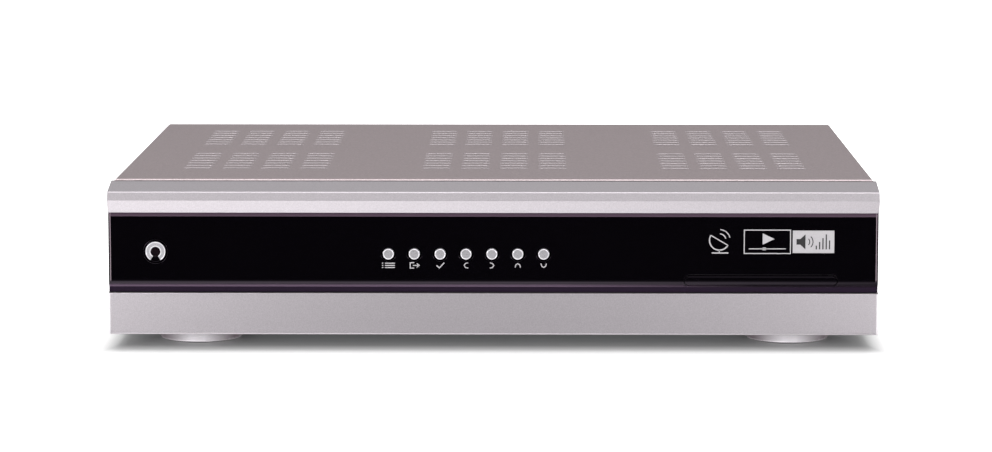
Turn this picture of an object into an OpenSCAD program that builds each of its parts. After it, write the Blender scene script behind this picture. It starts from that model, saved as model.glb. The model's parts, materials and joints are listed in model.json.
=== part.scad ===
// Satellite television receiver, free-standing, as an assembly of its separate pieces.
// Millimetres. +X is to the right of someone facing the front, +Y runs to the rear, +Z is up.
// The origin is on the standing surface, under the middle of the receiver's box.
// Inside the modules a place is given as [x, u, z]: u is the depth behind the front plane,
// and z is the height above the front panel's bottom edge.
$fn = 48;

/* [Front panel] */
// Width of the front panel
panel_w = 340; // [338:1:360]
// Height of the lower silver band
lower_band_h = 18.8; // [17:0.1:20]
// Height of the black window
window_h = 35.5; // [35:0.1:38]
// Height of the undercut band over the window
undercut_h = 5.7; // [5:0.1:7]
// Height of the upper band, from the nose to the edge of the slope
upper_band_h = 3.6; // [3.2:0.1:5]
// Rise of the slope that runs back to the cover
slope_rise = 3.1; // [2.6:0.1:4]
// Reach of the nose in front of the lower band
nose_reach = 2.4; // [1.6:0.1:3.2]
// Set-back of the slope's front edge behind the nose
edge_setback = 1.8; // [1.2:0.1:2.4]
// Depth of the front panel behind its lower band
bezel_d = 16.4; // [16:0.1:18]
// Wall of the front bezel
bezel_wall = 2.4; // [2:0.1:2.6]
// Radius along the bezel's bottom edge
bottom_r = 1; // [0.5:0.1:1.8]
// Radius along the slope's front edge
edge_r = 1; // [0.5:0.1:1.4]
// Radius of the lower band's upright edges
end_r = 0.8; // [0.4:0.1:1.6]

/* [Window] */
// Thickness of the window, which is the depth of its recess
window_t = 3.6; // [3.4:0.1:4]
// Height of the bevel along the window's top edge
bevel_h = 1.6; // [1:0.1:2.2]
// Depth of that bevel
bevel_d = 1.3; // [0.8:0.1:1.8]
// Height of the window's flange below its curved edge
flange_h = 2.3; // [1.8:0.1:2.6]
// Height of the curved lower edge
curve_h = 4.3; // [3.8:0.1:4.6]
// Radius of the curved lower edge
curve_r = 5.5; // [5.2:0.1:7]
// Bevel on the window's upright ends
window_end_bevel = 0.6; // [0.3:0.1:1]

/* [Buttons] */
// Diameter of a round button's cap
cap_d = 4.8; // [4.4:0.1:5]
// Distance from one button to the next
cap_pitch = 11.42; // [10.8:0.02:12]
// How far a cap stands out of the window
cap_reach = 0.6; // [0.3:0.1:1.2]
// Place of the fourth button to the left of the middle
row_middle = 11.9; // [10:0.1:14]
// Height of the button row above the panel's bottom edge
row_z = 36.1; // [35.5:0.1:37]
// Diameter of the counterbore round a cap
cap_well_d = 6.7; // [6.2:0.1:7.4]
// Depth of that counterbore
cap_well_depth = 1.2; // [0.8:0.1:1.6]
// Travel of every button
button_travel = 0.5; // [0.3:0.05:0.6]
// Distance of the standby button from the panel's left end
standby_inset = 21; // [19:0.5:24]
// Height of the standby button's middle
standby_z = 37; // [36:0.1:38]
// Diameter of the standby button
standby_d = 10.7; // [10:0.1:11]
// Outer diameter of its silver ring
ring_d = 8.8; // [8.4:0.1:9]
// Inner diameter of its silver ring
ring_hole_d = 4.4; // [4:0.1:5]
// Angle of the gap in the silver ring
ring_gap = 60; // [40:1:80]

/* [Card slot] */
// Width of the card slot
slot_w = 68; // [64:0.5:70]
// Height of the card slot
slot_h = 5.3; // [5:0.1:5.6]
// Distance of the slot's middle from the panel's right end
slot_inset = 51.8; // [51:0.1:54]
// Height of the slot's middle above the panel's bottom edge
slot_z = 24.3; // [24.1:0.1:25]
// Thickness of the card slot's flap
flap_t = 1.4; // [1.2:0.1:1.6]
// Radius of the flap's hinge pins
flap_pin_r = 0.5; // [0.4:0.05:0.6]
// Height of the slit that takes the card
slit_h = 1.2; // [1:0.1:1.6]
// Width of the card reader
reader_w = 62; // [60:0.5:66]
// Depth of the card reader
reader_d = 58; // [50:1:66]

/* [Cover] */
// Depth of the cover from its front lip to its rear lip
case_d = 248; // [240:1:260]
// Thickness of the cover's sheet
cover_t = 0.8; // [0.7:0.05:1]
// How far the cover's side stands back from the front panel's end
side_step = 1; // [0.95:0.05:1.6]
// How far the cover's top stands above the front panel
top_step = 0.6; // [0.3:0.1:1]
// Gap between the front panel and the cover
cover_gap = 0.5; // [0.3:0.1:0.8]
// Outer radius of the cover's bends
bend_r = 1.5; // [1.2:0.1:2.5]
// Height of the lip folded down at the front
front_lip = 3.5; // [2.5:0.1:4]
// Height of the lip folded down at the rear
rear_lip = 9; // [8:0.1:10]

/* [Cooling slots] */
// Length of one cooling slot
vent_len = 13.2; // [10:0.1:15]
// Width of one cooling slot
vent_w = 4; // [3:0.1:5]
// Distance from one slot to the next in a column
vent_pitch = 10.3; // [9:0.1:11]
// Slots in one column
vent_count = 7; // [5:1:8]
// Columns in one group
vent_cols = 4; // [3:1:5]
// Distance from one column to the next
vent_col_pitch = 17.7; // [16:0.1:20]
// Groups across the cover
vent_groups = 3; // [2:1:3]
// Distance from one group to the next
vent_group_pitch = 109; // [100:1:112]
// Distance of the front blocks' middle behind the cover's front lip
vent_front = 75.5; // [65:0.5:80]
// Distance from the front blocks to the rear blocks
vent_row_pitch = 104; // [95:0.5:110]

/* [Chassis] */
// Height of the front panel's bottom edge above the standing surface
ground_gap = 7.5; // [6.5:0.1:9]
// Height of the tray's underside above the front panel's bottom edge
tray_lift = 1.2; // [0.8:0.1:2]
// Thickness of the tray's and the rear panel's sheet
sheet_t = 1; // [0.8:0.05:1.2]
// Height of the tray's side flanges
flange_side_h = 15; // [14:0.5:20]
// Height of the tray's rear flange
flange_rear_h = 7; // [6:0.1:7.5]
// Height of the tray's front upstand
upstand_h = 58; // [56:0.5:60]
// Radius of a foot at its top
foot_r = 19.3; // [17:0.1:21]
// Radius of a foot at its bottom edge
foot_low_r = 18.5; // [16.5:0.1:20]
// Distance of a foot's middle from the panel's end
foot_inset = 37.4; // [30:0.1:45]
// Distance of the front feet behind the front plane
foot_front = 40; // [38:0.5:60]
// Distance of the rear feet ahead of the cover's rear edge
foot_rear = 40; // [30:0.5:60]
// Radius of a foot's rubber pad
pad_r = 15; // [12:0.1:16]
// How far the pad stands below the foot
pad_reach = 0.6; // [0.4:0.1:1.2]

/* [Boards] */
// Thickness of every circuit board
board_t = 1.6; // [1.2:0.1:2]
// Height of the standoffs under the main and power boards
standoff_h = 8; // [7:0.1:9]
// Radius of a standoff
standoff_r = 3; // [2.6:0.1:3.4]
// Depth of the main board
main_d = 150; // [140:1:160]
// Depth of the power board
power_d = 155; // [150:1:160]
// Space between the power board and the main board
board_gap = 6; // [4:0.5:20]
// Height of the front board
front_board_h = 44; // [42:0.5:46]
// Body height of a tact switch
tact_h = 3.5; // [3:0.1:4]

/* [Rear sockets] */
// Distance of the tuner's side from the tray's inner wall
tuner_margin = 3; // [2:0.5:5]
// Space from one rear socket to the next
socket_gap = 2.5; // [2:0.1:3]
// Width of the tuner can
tuner_w = 36; // [34:0.5:38]
// Distance between the tuner's two F connectors
f_pitch = 19; // [17:0.1:20]
// Thread diameter of an F connector
f_d = 9.52; // [9.4:0.02:9.6]
// Length of an F connector outside the rear panel
f_len = 10.5; // [9:0.1:12]
// Width of the modulator can
modulator_w = 24; // [22:0.5:26]
// Distance between the modulator's two sockets
aerial_pitch = 22; // [20:0.5:24]
// Outer diameter of a phono socket's shell
phono_d = 8.3; // [8.1:0.05:8.5]
// Length of a phono socket's shell outside the rear panel
phono_len = 9; // [8:0.1:10]
// Distance between phono sockets
phono_pitch = 14; // [13:0.1:14.5]
// Width of a SCART socket
scart_w = 48; // [47:0.1:50]
// Height of a SCART socket
scart_h = 17; // [16:0.1:18]
// Width of the serial port's flange
serial_w = 31; // [30.5:0.1:32]
// Width of the rocker switch's frame
switch_w = 15; // [14:0.1:16]
// Height of the rocker switch's frame
switch_h = 21; // [20:0.1:22]
// Tilt of the rocker each way from its middle
rocker_tilt = 9; // [7:0.5:10]

/* [Clearances] */
// Radial running clearance of a sliding or turning piece in its hole
run_fit = 0.05; // [0.03:0.01:0.08]
// Clearance of a piece that drops into a recess
drop_fit = 0.15; // [0.1:0.01:0.2]
// Clearance round a socket in the rear panel
socket_fit = 0.3; // [0.2:0.05:0.5]
// Clearance of a screw in its hole
screw_fit = 0.1; // [0.05:0.01:0.15]

/* [Hidden] */

EPS = 0.01;
silver = [0.72, 0.70, 0.72];
steel = [0.62, 0.60, 0.61];
zinc = [0.75, 0.76, 0.77];
gloss_black = [0.03, 0.025, 0.035];
board_green = [0.05, 0.30, 0.16];
plastic_black = [0.08, 0.08, 0.09];

// heights of the front panel's lines above its bottom edge
window_top = lower_band_h + window_h;
nose_z = window_top + undercut_h;
edge_z = nose_z + upper_band_h;
panel_h = edge_z + slope_rise;
top_z = panel_h + top_step;
crease_z = lower_band_h + flange_h;
curve_z = crease_z + curve_h;
curve_d = curve_r - sqrt(curve_r * curve_r - curve_h * curve_h);
recess_d = window_t;
skin_u = recess_d + bezel_wall;
undercut_u = 0.2;
edge_u = edge_setback - nose_reach;

// cover and chassis
case_w = panel_w - 2 * side_step;
case_u = bezel_d + cover_gap;
case_end = case_u + case_d;
rear_u = case_end - cover_t;
rear_in = rear_u - sheet_t;
tray_gap = 0.2;
tray_half = case_w / 2 - cover_t - tray_gap;
tray_in = tray_half - sheet_t;
tray_top = tray_lift + sheet_t;
upstand_u = case_u + cover_t + 0.3;
upstand_top = tray_lift + upstand_h;
rear_flange_u = rear_in - sheet_t;
rear_panel_top = top_z - bend_r;
side_screw_z = tray_top + 5;
side_screw_us = [case_u + 55, case_end - 45];
rear_screw_z = top_z - rear_lip / 2 - 0.5;
rear_screw_inset = 18;
rear_screw_xs = [-1, 0, 1] * (tray_half - rear_screw_inset);
flange_screw_z = tray_lift + flange_rear_h / 2 + 0.5;
flange_screw_inset = 38;
flange_screw_xs = [-1, -1 / 3, 1 / 3, 1] * (tray_half - flange_screw_inset);

// the receiver's box and its middle
depth_all = nose_reach + rear_u + f_len;
front_y = nose_reach - depth_all / 2;

// feet
foot_x = panel_w / 2 - foot_inset;
foot_us = [foot_front, case_end - foot_rear];
foot_z = -ground_gap + pad_reach;
foot_screw_r = 2;
pad_t = 2.5;
pad_hole_r = 5.5;

// screws
cover_screw_r = 1.4;
cover_head_r = 2.8;
small_screw_r = 1.1;
small_head_r = 2.2;

// buttons
row_x = [for (i = [0 : 6]) (i - 3) * cap_pitch - row_middle];
standby_x = standby_inset - panel_w / 2;
front_board_u = 14.6;
tact_u = front_board_u - tact_h;
flange_t = 1;
plunger_r = 1.75;
plunger_reach = 0.8;
stem_r = 1.5;
tact_w = 6;

// card slot, flap and reader
slot_x = panel_w / 2 - slot_inset;
slot_top = slot_z + slot_h / 2;
flap_gap = 0.3;
flap_inset = 0.15;
hinge_r = 1.15;
hinge_u = flap_inset + hinge_r;
hinge_z = slot_top - flap_gap - hinge_r;
// the barrel ends where the slot's round ends begin to close in over it
hinge_half = (slot_w - slot_h) / 2 + sqrt(flap_gap * (slot_h - flap_gap)) - flap_gap;
pin_len = 2.2;
reader_u = upstand_u + sheet_t + 0.6;
reader_base_t = 3;
reader_rail_w = 2.5;
slit_z = slot_z - slit_h / 2;
card_board_z = slit_z - reader_base_t - board_t;
card_board_margin = 2;

// boards
board_z = tray_top + standoff_h;
board_top = board_z + board_t;
board_end = rear_flange_u - 0.6;
main_right = tray_in - 1;
power_left = -tray_in + 3;
lead_back = 120;
lead_u = board_end - lead_back;
decoder_x = 40;
decoder_back = 95;
decoder_u = board_end - decoder_back;
decoder_w = 28;
chip_t = 3.2;

// rear sockets, laid out from the right
tuner_x = tray_in - tuner_margin - tuner_w / 2;
modulator_x = tuner_x - tuner_w / 2 - socket_gap - modulator_w / 2;
phono_w = 2 * phono_pitch;
phono_x = modulator_x - modulator_w / 2 - socket_gap - phono_w / 2;
vcr_x = phono_x - phono_w / 2 - socket_gap - scart_w / 2;
tv_x = vcr_x - socket_gap - scart_w;
serial_x = tv_x - scart_w / 2 - socket_gap - serial_w / 2;
main_left = serial_x - serial_w / 2 - 3;
power_right = main_left - board_gap;
tuner_d = 58;
tuner_h = 16;
f_z = board_top + tuner_h / 2;
f_xs = [tuner_x - f_pitch / 2, tuner_x + f_pitch / 2];
modulator_d = 44;
modulator_h = 46;
aerial_z = board_top + modulator_h / 2;
aerial_r = 4.75;
aerial_len = 9;
phono_z = board_top + phono_pitch / 2;
phono_block_d = 14;
phono_wall = 0.8;
phono_collar = 0.7;
scart_d = 24;
serial_z = board_top + 6.4;
inlet_x = power_left + 22;
inlet_w = 20;
inlet_h = 13;
inlet_z = board_top + inlet_h / 2 + 2;
inlet_d = 18;
inlet_bore_r = 3.9;
inlet_pitch = 8.6;
inlet_pin_r = 1.2;
switch_x = inlet_x + 30;
switch_z = inlet_z + 4;
switch_d = 16;
switch_frame_t = 1.6;
rocker_w = switch_w - 4;
rocker_h = switch_h - 5;
rocker_r = 1.2;

// ---- shared shapes ----

// moves what is drawn as [x, u, z] to its place over the standing surface
module in_place() {
    translate([0, front_y, ground_gap]) children();
}

// extrudes an outline drawn as [u, z] along x
module along_x(len) {
    rotate([90, 0, 90]) linear_extrude(len, center = true) children();
}

// extrudes an outline drawn as [x, z] from u0 back to u1
module along_u(u0, u1) {
    translate([0, u1, 0]) rotate([90, 0, 0]) linear_extrude(u1 - u0) children();
}

// a box from one corner to the opposite one
module block(low, high) {
    translate(low) cube(high - low);
}

// a round bar along u from u0 to u1
module bar_u(r, u0, u1, x = 0, z = 0) {
    translate([x, u1, z]) rotate([90, 0, 0]) cylinder(r = r, h = u1 - u0);
}

// a round bar along x from x0 to x1
module bar_x(r, x0, x1, u = 0, z = 0) {
    translate([x0, u, z]) rotate([0, 90, 0]) cylinder(r = r, h = x1 - x0);
}

// a slot with round ends, drawn flat and centred
module stadium(len, wide) {
    square([len - wide, wide], center = true);
    for (s = [-1, 1]) translate([s * (len - wide) / 2, 0]) circle(d = wide);
}

// rounds one corner p of an outline; a and b are the unit directions of its two edges
module rounded(p, a, b, r) {
    half = acos(a * b) / 2;
    run = r / tan(half);
    middle = p + (a + b) / norm(a + b) * r / sin(half);
    difference() {
        children();
        polygon([p - (a + b), p + a * run, middle, p + b * run]);
    }
    translate(middle) circle(r);
}

// a pan-head screw along +u: the head's underside is at the origin, the shank runs along -u
module screw_u(shank_r, shank_len, head_r, head_h) {
    difference() {
        union() {
            bar_u(shank_r, -shank_len, 0);
            bar_u(head_r, 0, head_h);
        }
        for (turn = [0, 90]) rotate([0, turn, 0])
            translate([0, head_h, 0]) cube([head_r * 1.1, head_h, 0.7], center = true);
    }
}

// the same screw standing upright, its head on top
module screw_z(shank_r, shank_len, head_r, head_h) {
    rotate([90, 0, 0]) screw_u(shank_r, shank_len, head_r, head_h);
}

// ---- front panel ----

module bezel_outline() {
    upper_dir = [nose_reach + edge_u, upper_band_h] / norm([nose_reach + edge_u, upper_band_h]);
    slope_dir = [bezel_d - edge_u, slope_rise] / norm([bezel_d - edge_u, slope_rise]);
    rounded([0, 0], [1, 0], [0, 1], bottom_r)
    rounded([0, lower_band_h], [1, 0], [0, -1], 0.4)
    rounded([edge_u, edge_z], -upper_dir, slope_dir, edge_r)
        polygon([
            [0, 0], [bezel_d, 0], [bezel_d, panel_h], [edge_u, edge_z],
            [-nose_reach, nose_z], [undercut_u, window_top], [recess_d, window_top],
            [recess_d, lower_band_h], [0, lower_band_h]]);
}

module bezel_hollow() {
    w = bezel_wall;
    polygon([
        [w, w], [bezel_d + 1, w], [bezel_d + 1, panel_h - w], [bezel_d, panel_h - w],
        [edge_u + w, edge_z - w], [undercut_u + w, nose_z - w / 4], [skin_u, window_top + w],
        [skin_u, lower_band_h - w], [w, lower_band_h - w]]);
}

module button_holes(r, standby_r) {
    for (x = row_x) bar_u(r, -5, bezel_d, x, row_z);
    bar_u(standby_r, -5, bezel_d, standby_x, standby_z);
}

display_x = standby_x + 42;
display_w = 40;
display_h = 15;
infrared_x = row_x[6] + 33;
boss_r = 3;
board_boss_xs = [18 - panel_w / 2, row_x[0] - 14, infrared_x + 11];
board_boss_z = window_top - 5;
bezel_screw_x = panel_w / 2 - bezel_wall - 7;
bezel_screw_zs = [10, 44];

module front_bezel() {
    tunnel_wall = 1.6;
    tunnel_w = slot_w + 1;
    tunnel_h = slot_h + 1;
    color(silver) in_place() difference() {
        union() {
            difference() {
                along_x(panel_w) bezel_outline();
                along_x(panel_w - 2 * bezel_wall) bezel_hollow();
            }
            for (x = board_boss_xs) bar_u(boss_r, recess_d + 1, front_board_u, x, board_boss_z);
            for (s = [-1, 1]) {
                bar_u(boss_r + 0.5, bezel_wall / 2, upstand_u, s * bezel_screw_x, bezel_screw_zs[0]);
                bar_u(boss_r + 0.5, recess_d + 1, upstand_u, s * bezel_screw_x, bezel_screw_zs[1]);
            }
            translate([slot_x, 0, slot_z]) along_u(recess_d + 1, bezel_d)
                square([tunnel_w + 2 * tunnel_wall, tunnel_h + 2 * tunnel_wall], center = true);
        }
        // upright edges of the lower band
        for (s = [-1, 1]) translate([s * panel_w / 2, 0, -1]) mirror([s > 0 ? 1 : 0, 0, 0])
            linear_extrude(lower_band_h + 1) difference() {
                translate([-1, -1]) square(end_r + 1);
                translate([end_r, end_r]) circle(end_r);
            }
        // guides of the buttons, and what looks out through the window
        button_holes(cap_d / 2 + run_fit, ring_d / 2 - 0.4 + run_fit);
        block([display_x - display_w / 2 - 1, -1, row_z - display_h / 2 - 1],
              [display_x + display_w / 2 + 1, skin_u + 1, row_z + display_h / 2 + 1]);
        bar_u(4.5, -1, skin_u + 1, infrared_x, row_z);
        // way of the card
        translate([slot_x, 0, slot_z]) along_u(-1, bezel_d + 1) square([tunnel_w, tunnel_h], center = true);
        // screw holes
        for (x = board_boss_xs) bar_u(small_screw_r + screw_fit, skin_u, bezel_d + 1, x, board_boss_z);
        for (s = [-1, 1], z = bezel_screw_zs)
            bar_u(cover_screw_r + screw_fit, skin_u, upstand_u + 1, s * bezel_screw_x, z);
    }
}

module window_outline() {
    difference() {
        polygon([
            [window_t, lower_band_h + drop_fit], [window_t, window_top - drop_fit],
            [bevel_d, window_top - drop_fit], [0, window_top - bevel_h], [0, curve_z],
            [0, crease_z], [curve_d, crease_z], [curve_d, lower_band_h + drop_fit]]);
        difference() {
            translate([-1, crease_z - 1]) square([curve_d + 1, curve_h + 1]);
            translate([curve_r, curve_z]) circle(curve_r, $fn = 96);
        }
    }
}

module front_window() {
    half = panel_w / 2 - drop_fit;
    color(gloss_black) in_place() difference() {
        along_x(2 * half) window_outline();
        // bevelled ends
        for (s = [-1, 1]) translate([s * half, 0, lower_band_h]) rotate([0, 0, 45])
            cube([window_end_bevel * sqrt(2), window_end_bevel * sqrt(2), 3 * window_h], center = true);
        button_holes(cap_d / 2 + 0.2, standby_d / 2 + drop_fit);
        for (x = row_x) bar_u(cap_well_d / 2, -1, cap_well_depth, x, row_z);
        translate([slot_x, 0, slot_z]) along_u(-1, window_t + 1) stadium(slot_w, slot_h);
        // sockets of the flap's hinge pins
        bar_x(flap_pin_r + run_fit, slot_x - hinge_half - pin_len - flap_gap,
            slot_x + hinge_half + pin_len + flap_gap, hinge_u, hinge_z);
        // behind the hinge the slot's corners are square, so that the flap's round ends swing clear
        block([slot_x - slot_w / 2, hinge_u, slot_z - slot_h / 2],
              [slot_x + slot_w / 2, window_t + 1, slot_top]);
    }
}

// a cap with its stem, a stop behind the bezel's wall and the switch's plunger ahead of the stem
module push_button(x, z, face_r, face_u, guide_r) {
    translate([x, 0, z]) {
        difference() {
            union() {
                bar_u(face_r, face_u, window_t - button_travel - drop_fit);
                bar_u(guide_r, face_u + 1, skin_u + EPS);
            }
            if (face_r > cap_d) children();
        }
        bar_u(guide_r + 1.2, skin_u, skin_u + flange_t);
        bar_u(stem_r, skin_u, tact_u - plunger_reach);
        bar_u(plunger_r, tact_u - plunger_reach, tact_u + tact_h / 2 - button_travel);
    }
}

module row_button(i) {
    color(zinc) in_place() push_button(row_x[i], row_z, cap_d / 2, -cap_reach, cap_d / 2);
}

module menu_button() row_button(0);
module exit_button() row_button(1);
module ok_button() row_button(2);
module left_button() row_button(3);
module right_button() row_button(4);
module up_button() row_button(5);
module down_button() row_button(6);

standby_face = -0.3;
ring_seat = 0.8;

module standby_button() {
    color(gloss_black) in_place()
        push_button(standby_x, standby_z, standby_d / 2, standby_face, ring_d / 2 - 0.4) {
            bar_u(ring_d / 2, standby_face - 1, standby_face + ring_seat);
            bar_u(ring_hole_d / 2, standby_face - 1, window_t);
        }
}

module standby_ring() {
    reach = ring_d;
    color(zinc) in_place() translate([standby_x, 0, standby_z])
        along_u(standby_face - 0.15, standby_face + ring_seat) difference() {
            circle(ring_d / 2);
            circle(ring_hole_d / 2);
            polygon([[0, 0], [-reach * sin(ring_gap / 2), -reach * cos(ring_gap / 2)],
                     [reach * sin(ring_gap / 2), -reach * cos(ring_gap / 2)]]);
        }
}

module standby_lens() {
    color([0.10, 0.04, 0.06]) in_place()
        bar_u(ring_hole_d / 2, standby_face, window_t, standby_x, standby_z);
}

module card_flap() {
    low_z = slot_z - slot_h / 2 + flap_gap;
    flap_w = slot_w - 2 * flap_gap;
    color(gloss_black) in_place() {
        intersection() {
            translate([slot_x, 0, 0]) along_x(flap_w) {
                intersection() {
                    difference() {
                        translate([curve_r, curve_z]) circle(curve_r - flap_inset, $fn = 96);
                        translate([curve_r, curve_z]) circle(curve_r - flap_inset - flap_t, $fn = 96);
                    }
                    translate([0, low_z]) square([curve_r, curve_z - low_z]);
                }
                translate([flap_inset, curve_z - EPS])
                    square([flap_t, max(hinge_z - curve_z, 0) + 2 * EPS]);
            }
            translate([slot_x, 0, slot_z]) along_u(-1, window_t + 1) stadium(flap_w, slot_h - 2 * flap_gap);
        }
        bar_x(hinge_r, slot_x - hinge_half, slot_x + hinge_half, hinge_u, hinge_z);
        bar_x(flap_pin_r, slot_x - hinge_half - pin_len, slot_x + hinge_half + pin_len, hinge_u, hinge_z);
    }
}

module card_reader_base() {
    color(plastic_black) in_place() translate([slot_x, 0, 0]) difference() {
        block([-reader_w / 2, reader_u, slit_z - reader_base_t],
              [reader_w / 2, reader_u + reader_d, slit_z + slit_h]);
        block([-reader_w / 2 + reader_rail_w, reader_u - 1, slit_z],
              [reader_w / 2 - reader_rail_w, reader_u + reader_d - reader_rail_w, slit_z + slit_h + 1]);
    }
}

module card_reader_lid() {
    lid_t = 3.2;
    color(plastic_black) in_place() translate([slot_x, 0, slit_z + slit_h]) difference() {
        block([-reader_w / 2, reader_u, 0], [reader_w / 2, reader_u + reader_d, lid_t]);
        for (x = [-18, 0, 18])
            block([x - 5, reader_u + 12, 1.2], [x + 5, reader_u + reader_d - 10, lid_t + 1]);
    }
}

card_post_xs = [slot_x - reader_w / 2 - 3.2, slot_x + reader_w / 2 + 3.2];
card_post_us = [reader_u + 8, reader_u + reader_d - 4];

module card_board() {
    half = reader_w / 2 + 6;
    color(board_green) in_place() difference() {
        block([slot_x - half, reader_u + card_board_margin, card_board_z],
              [slot_x + half, reader_u + reader_d + card_board_margin, card_board_z + board_t]);
        for (x = card_post_xs, u = card_post_us) translate([x, u, card_board_z - 1])
            cylinder(r = small_screw_r + screw_fit, h = board_t + 2);
    }
}

// ---- front board ----

front_board_z = window_top - front_board_h;

module front_board() {
    color(board_green) in_place() difference() {
        block([board_boss_xs[0] - 4, front_board_u, front_board_z],
              [board_boss_xs[2] + 4, front_board_u + board_t, window_top]);
        for (x = board_boss_xs) bar_u(small_screw_r + screw_fit, front_board_u - 1,
            front_board_u + board_t + 1, x, board_boss_z);
    }
}

module tact_switches() {
    color(plastic_black) in_place() difference() {
        for (p = concat([for (x = row_x) [x, row_z]], [[standby_x, standby_z]]))
            translate([p[0], 0, p[1]]) along_u(tact_u, front_board_u) square(tact_w, center = true);
        for (p = concat([for (x = row_x) [x, row_z]], [[standby_x, standby_z]]))
            bar_u(plunger_r + run_fit, tact_u - 1, tact_u + tact_h / 2 + 0.3, p[0], p[1]);
    }
}

module digit_display() {
    stroke = 1.1;
    digit_w = 5.4;
    digit_h = 9.5;
    color([0.16, 0.05, 0.06]) in_place() translate([display_x, 0, row_z]) difference() {
        along_u(recess_d + 0.2, front_board_u) square([display_w, display_h], center = true);
        for (i = [-1.5 : 1 : 1.5]) translate([i * 9.6, 0, 0]) along_u(recess_d - 1, recess_d + 0.5)
            for (s = [-1, 1]) {
                for (half = [-1, 1]) translate([s * digit_w / 2, half * digit_h / 4])
                    square([stroke, digit_h / 2 - 1.4], center = true);
                translate([0, s * digit_h / 2]) square([digit_w - 1.4, stroke], center = true);
            }
    }
}

module infrared_receiver() {
    color([0.12, 0.05, 0.08]) in_place() {
        bar_u(2.5, recess_d + 0.4, front_board_u - 4, infrared_x, row_z);
        block([infrared_x - 4, front_board_u - 5, row_z - 4.5],
              [infrared_x + 4, front_board_u, row_z + 4.5]);
    }
}

light_x = standby_x + 7.5;

module status_light() {
    color([0.6, 0.1, 0.1]) in_place() {
        bar_u(1.5, tact_u - 2, front_board_u, light_x, standby_z);
        bar_u(1.9, front_board_u - 1, front_board_u, light_x, standby_z);
    }
}

// ---- cover and chassis ----

module sheet_profile(wide, high, r) {
    difference() {
        translate([-wide / 2, 0]) square([wide, high]);
        for (s = [-1, 1]) mirror([s > 0 ? 1 : 0, 0]) difference() {
            translate([-wide / 2 - 1, high - r]) square([r + 1, r + 1]);
            translate([-wide / 2 + r, high - r]) circle(r);
        }
    }
}

// a block with its top edges rounded on all four sides, from z0 up
module soft_top_block(wide, u0, u1, z0, z1, r) {
    intersection() {
        along_u(u0, u1) translate([0, z0]) sheet_profile(wide, z1 - z0, r);
        translate([0, (u0 + u1) / 2, z0]) along_x(wide) sheet_profile(u1 - u0, z1 - z0, r);
    }
}

module cooling_slots() {
    for (g = [0 : vent_groups - 1], c = [0 : vent_cols - 1], row = [0, 1], i = [0 : vent_count - 1])
        translate([(g - (vent_groups - 1) / 2) * vent_group_pitch,
                   case_u + vent_front + row * vent_row_pitch])
        translate([(c - (vent_cols - 1) / 2) * vent_col_pitch, (i - (vent_count - 1) / 2) * vent_pitch])
            stadium(vent_len, vent_w);
}

module top_cover() {
    inner_w = case_w - 2 * cover_t;
    color(steel) in_place() difference() {
        soft_top_block(case_w, case_u, case_end, tray_lift, top_z, bend_r);
        soft_top_block(inner_w, case_u + cover_t, rear_u, tray_lift - 1, top_z - cover_t, bend_r - cover_t);
        // open front and rear below the folded lips
        block([-inner_w / 2, case_u - 1, tray_lift - 1],
              [inner_w / 2, case_u + cover_t + 1, top_z - front_lip]);
        block([-inner_w / 2, rear_u - 1, tray_lift - 1], [inner_w / 2, case_end + 1, top_z - rear_lip]);
        translate([0, 0, top_z - cover_t - 0.5]) linear_extrude(cover_t + 1) cooling_slots();
        for (x = rear_screw_xs) bar_u(cover_screw_r + screw_fit, rear_u - 1, case_end + 1, x, rear_screw_z);
        for (u = side_screw_us) bar_x(cover_screw_r + screw_fit, -case_w, case_w, u, side_screw_z);
    }
}

module cover_screws() {
    rear_len = cover_t + sheet_t + 3;
    side_len = cover_t + tray_gap + sheet_t + 3;
    color(zinc) in_place() {
        for (x = rear_screw_xs) translate([x, case_end, rear_screw_z])
            screw_u(cover_screw_r, rear_len, cover_head_r, 1.8);
        for (u = side_screw_us, s = [-1, 1]) translate([s * case_w / 2, u, side_screw_z])
            rotate([0, 0, -s * 90]) screw_u(cover_screw_r, side_len, cover_head_r, 0.9);
    }
}

tray_vent_xs = [(power_left + power_right) / 2, decoder_x - 30, slot_x - 8];
tray_vent_len = 40;
tray_vent_w = 3;
tray_vent_pitch = 9;

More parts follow.
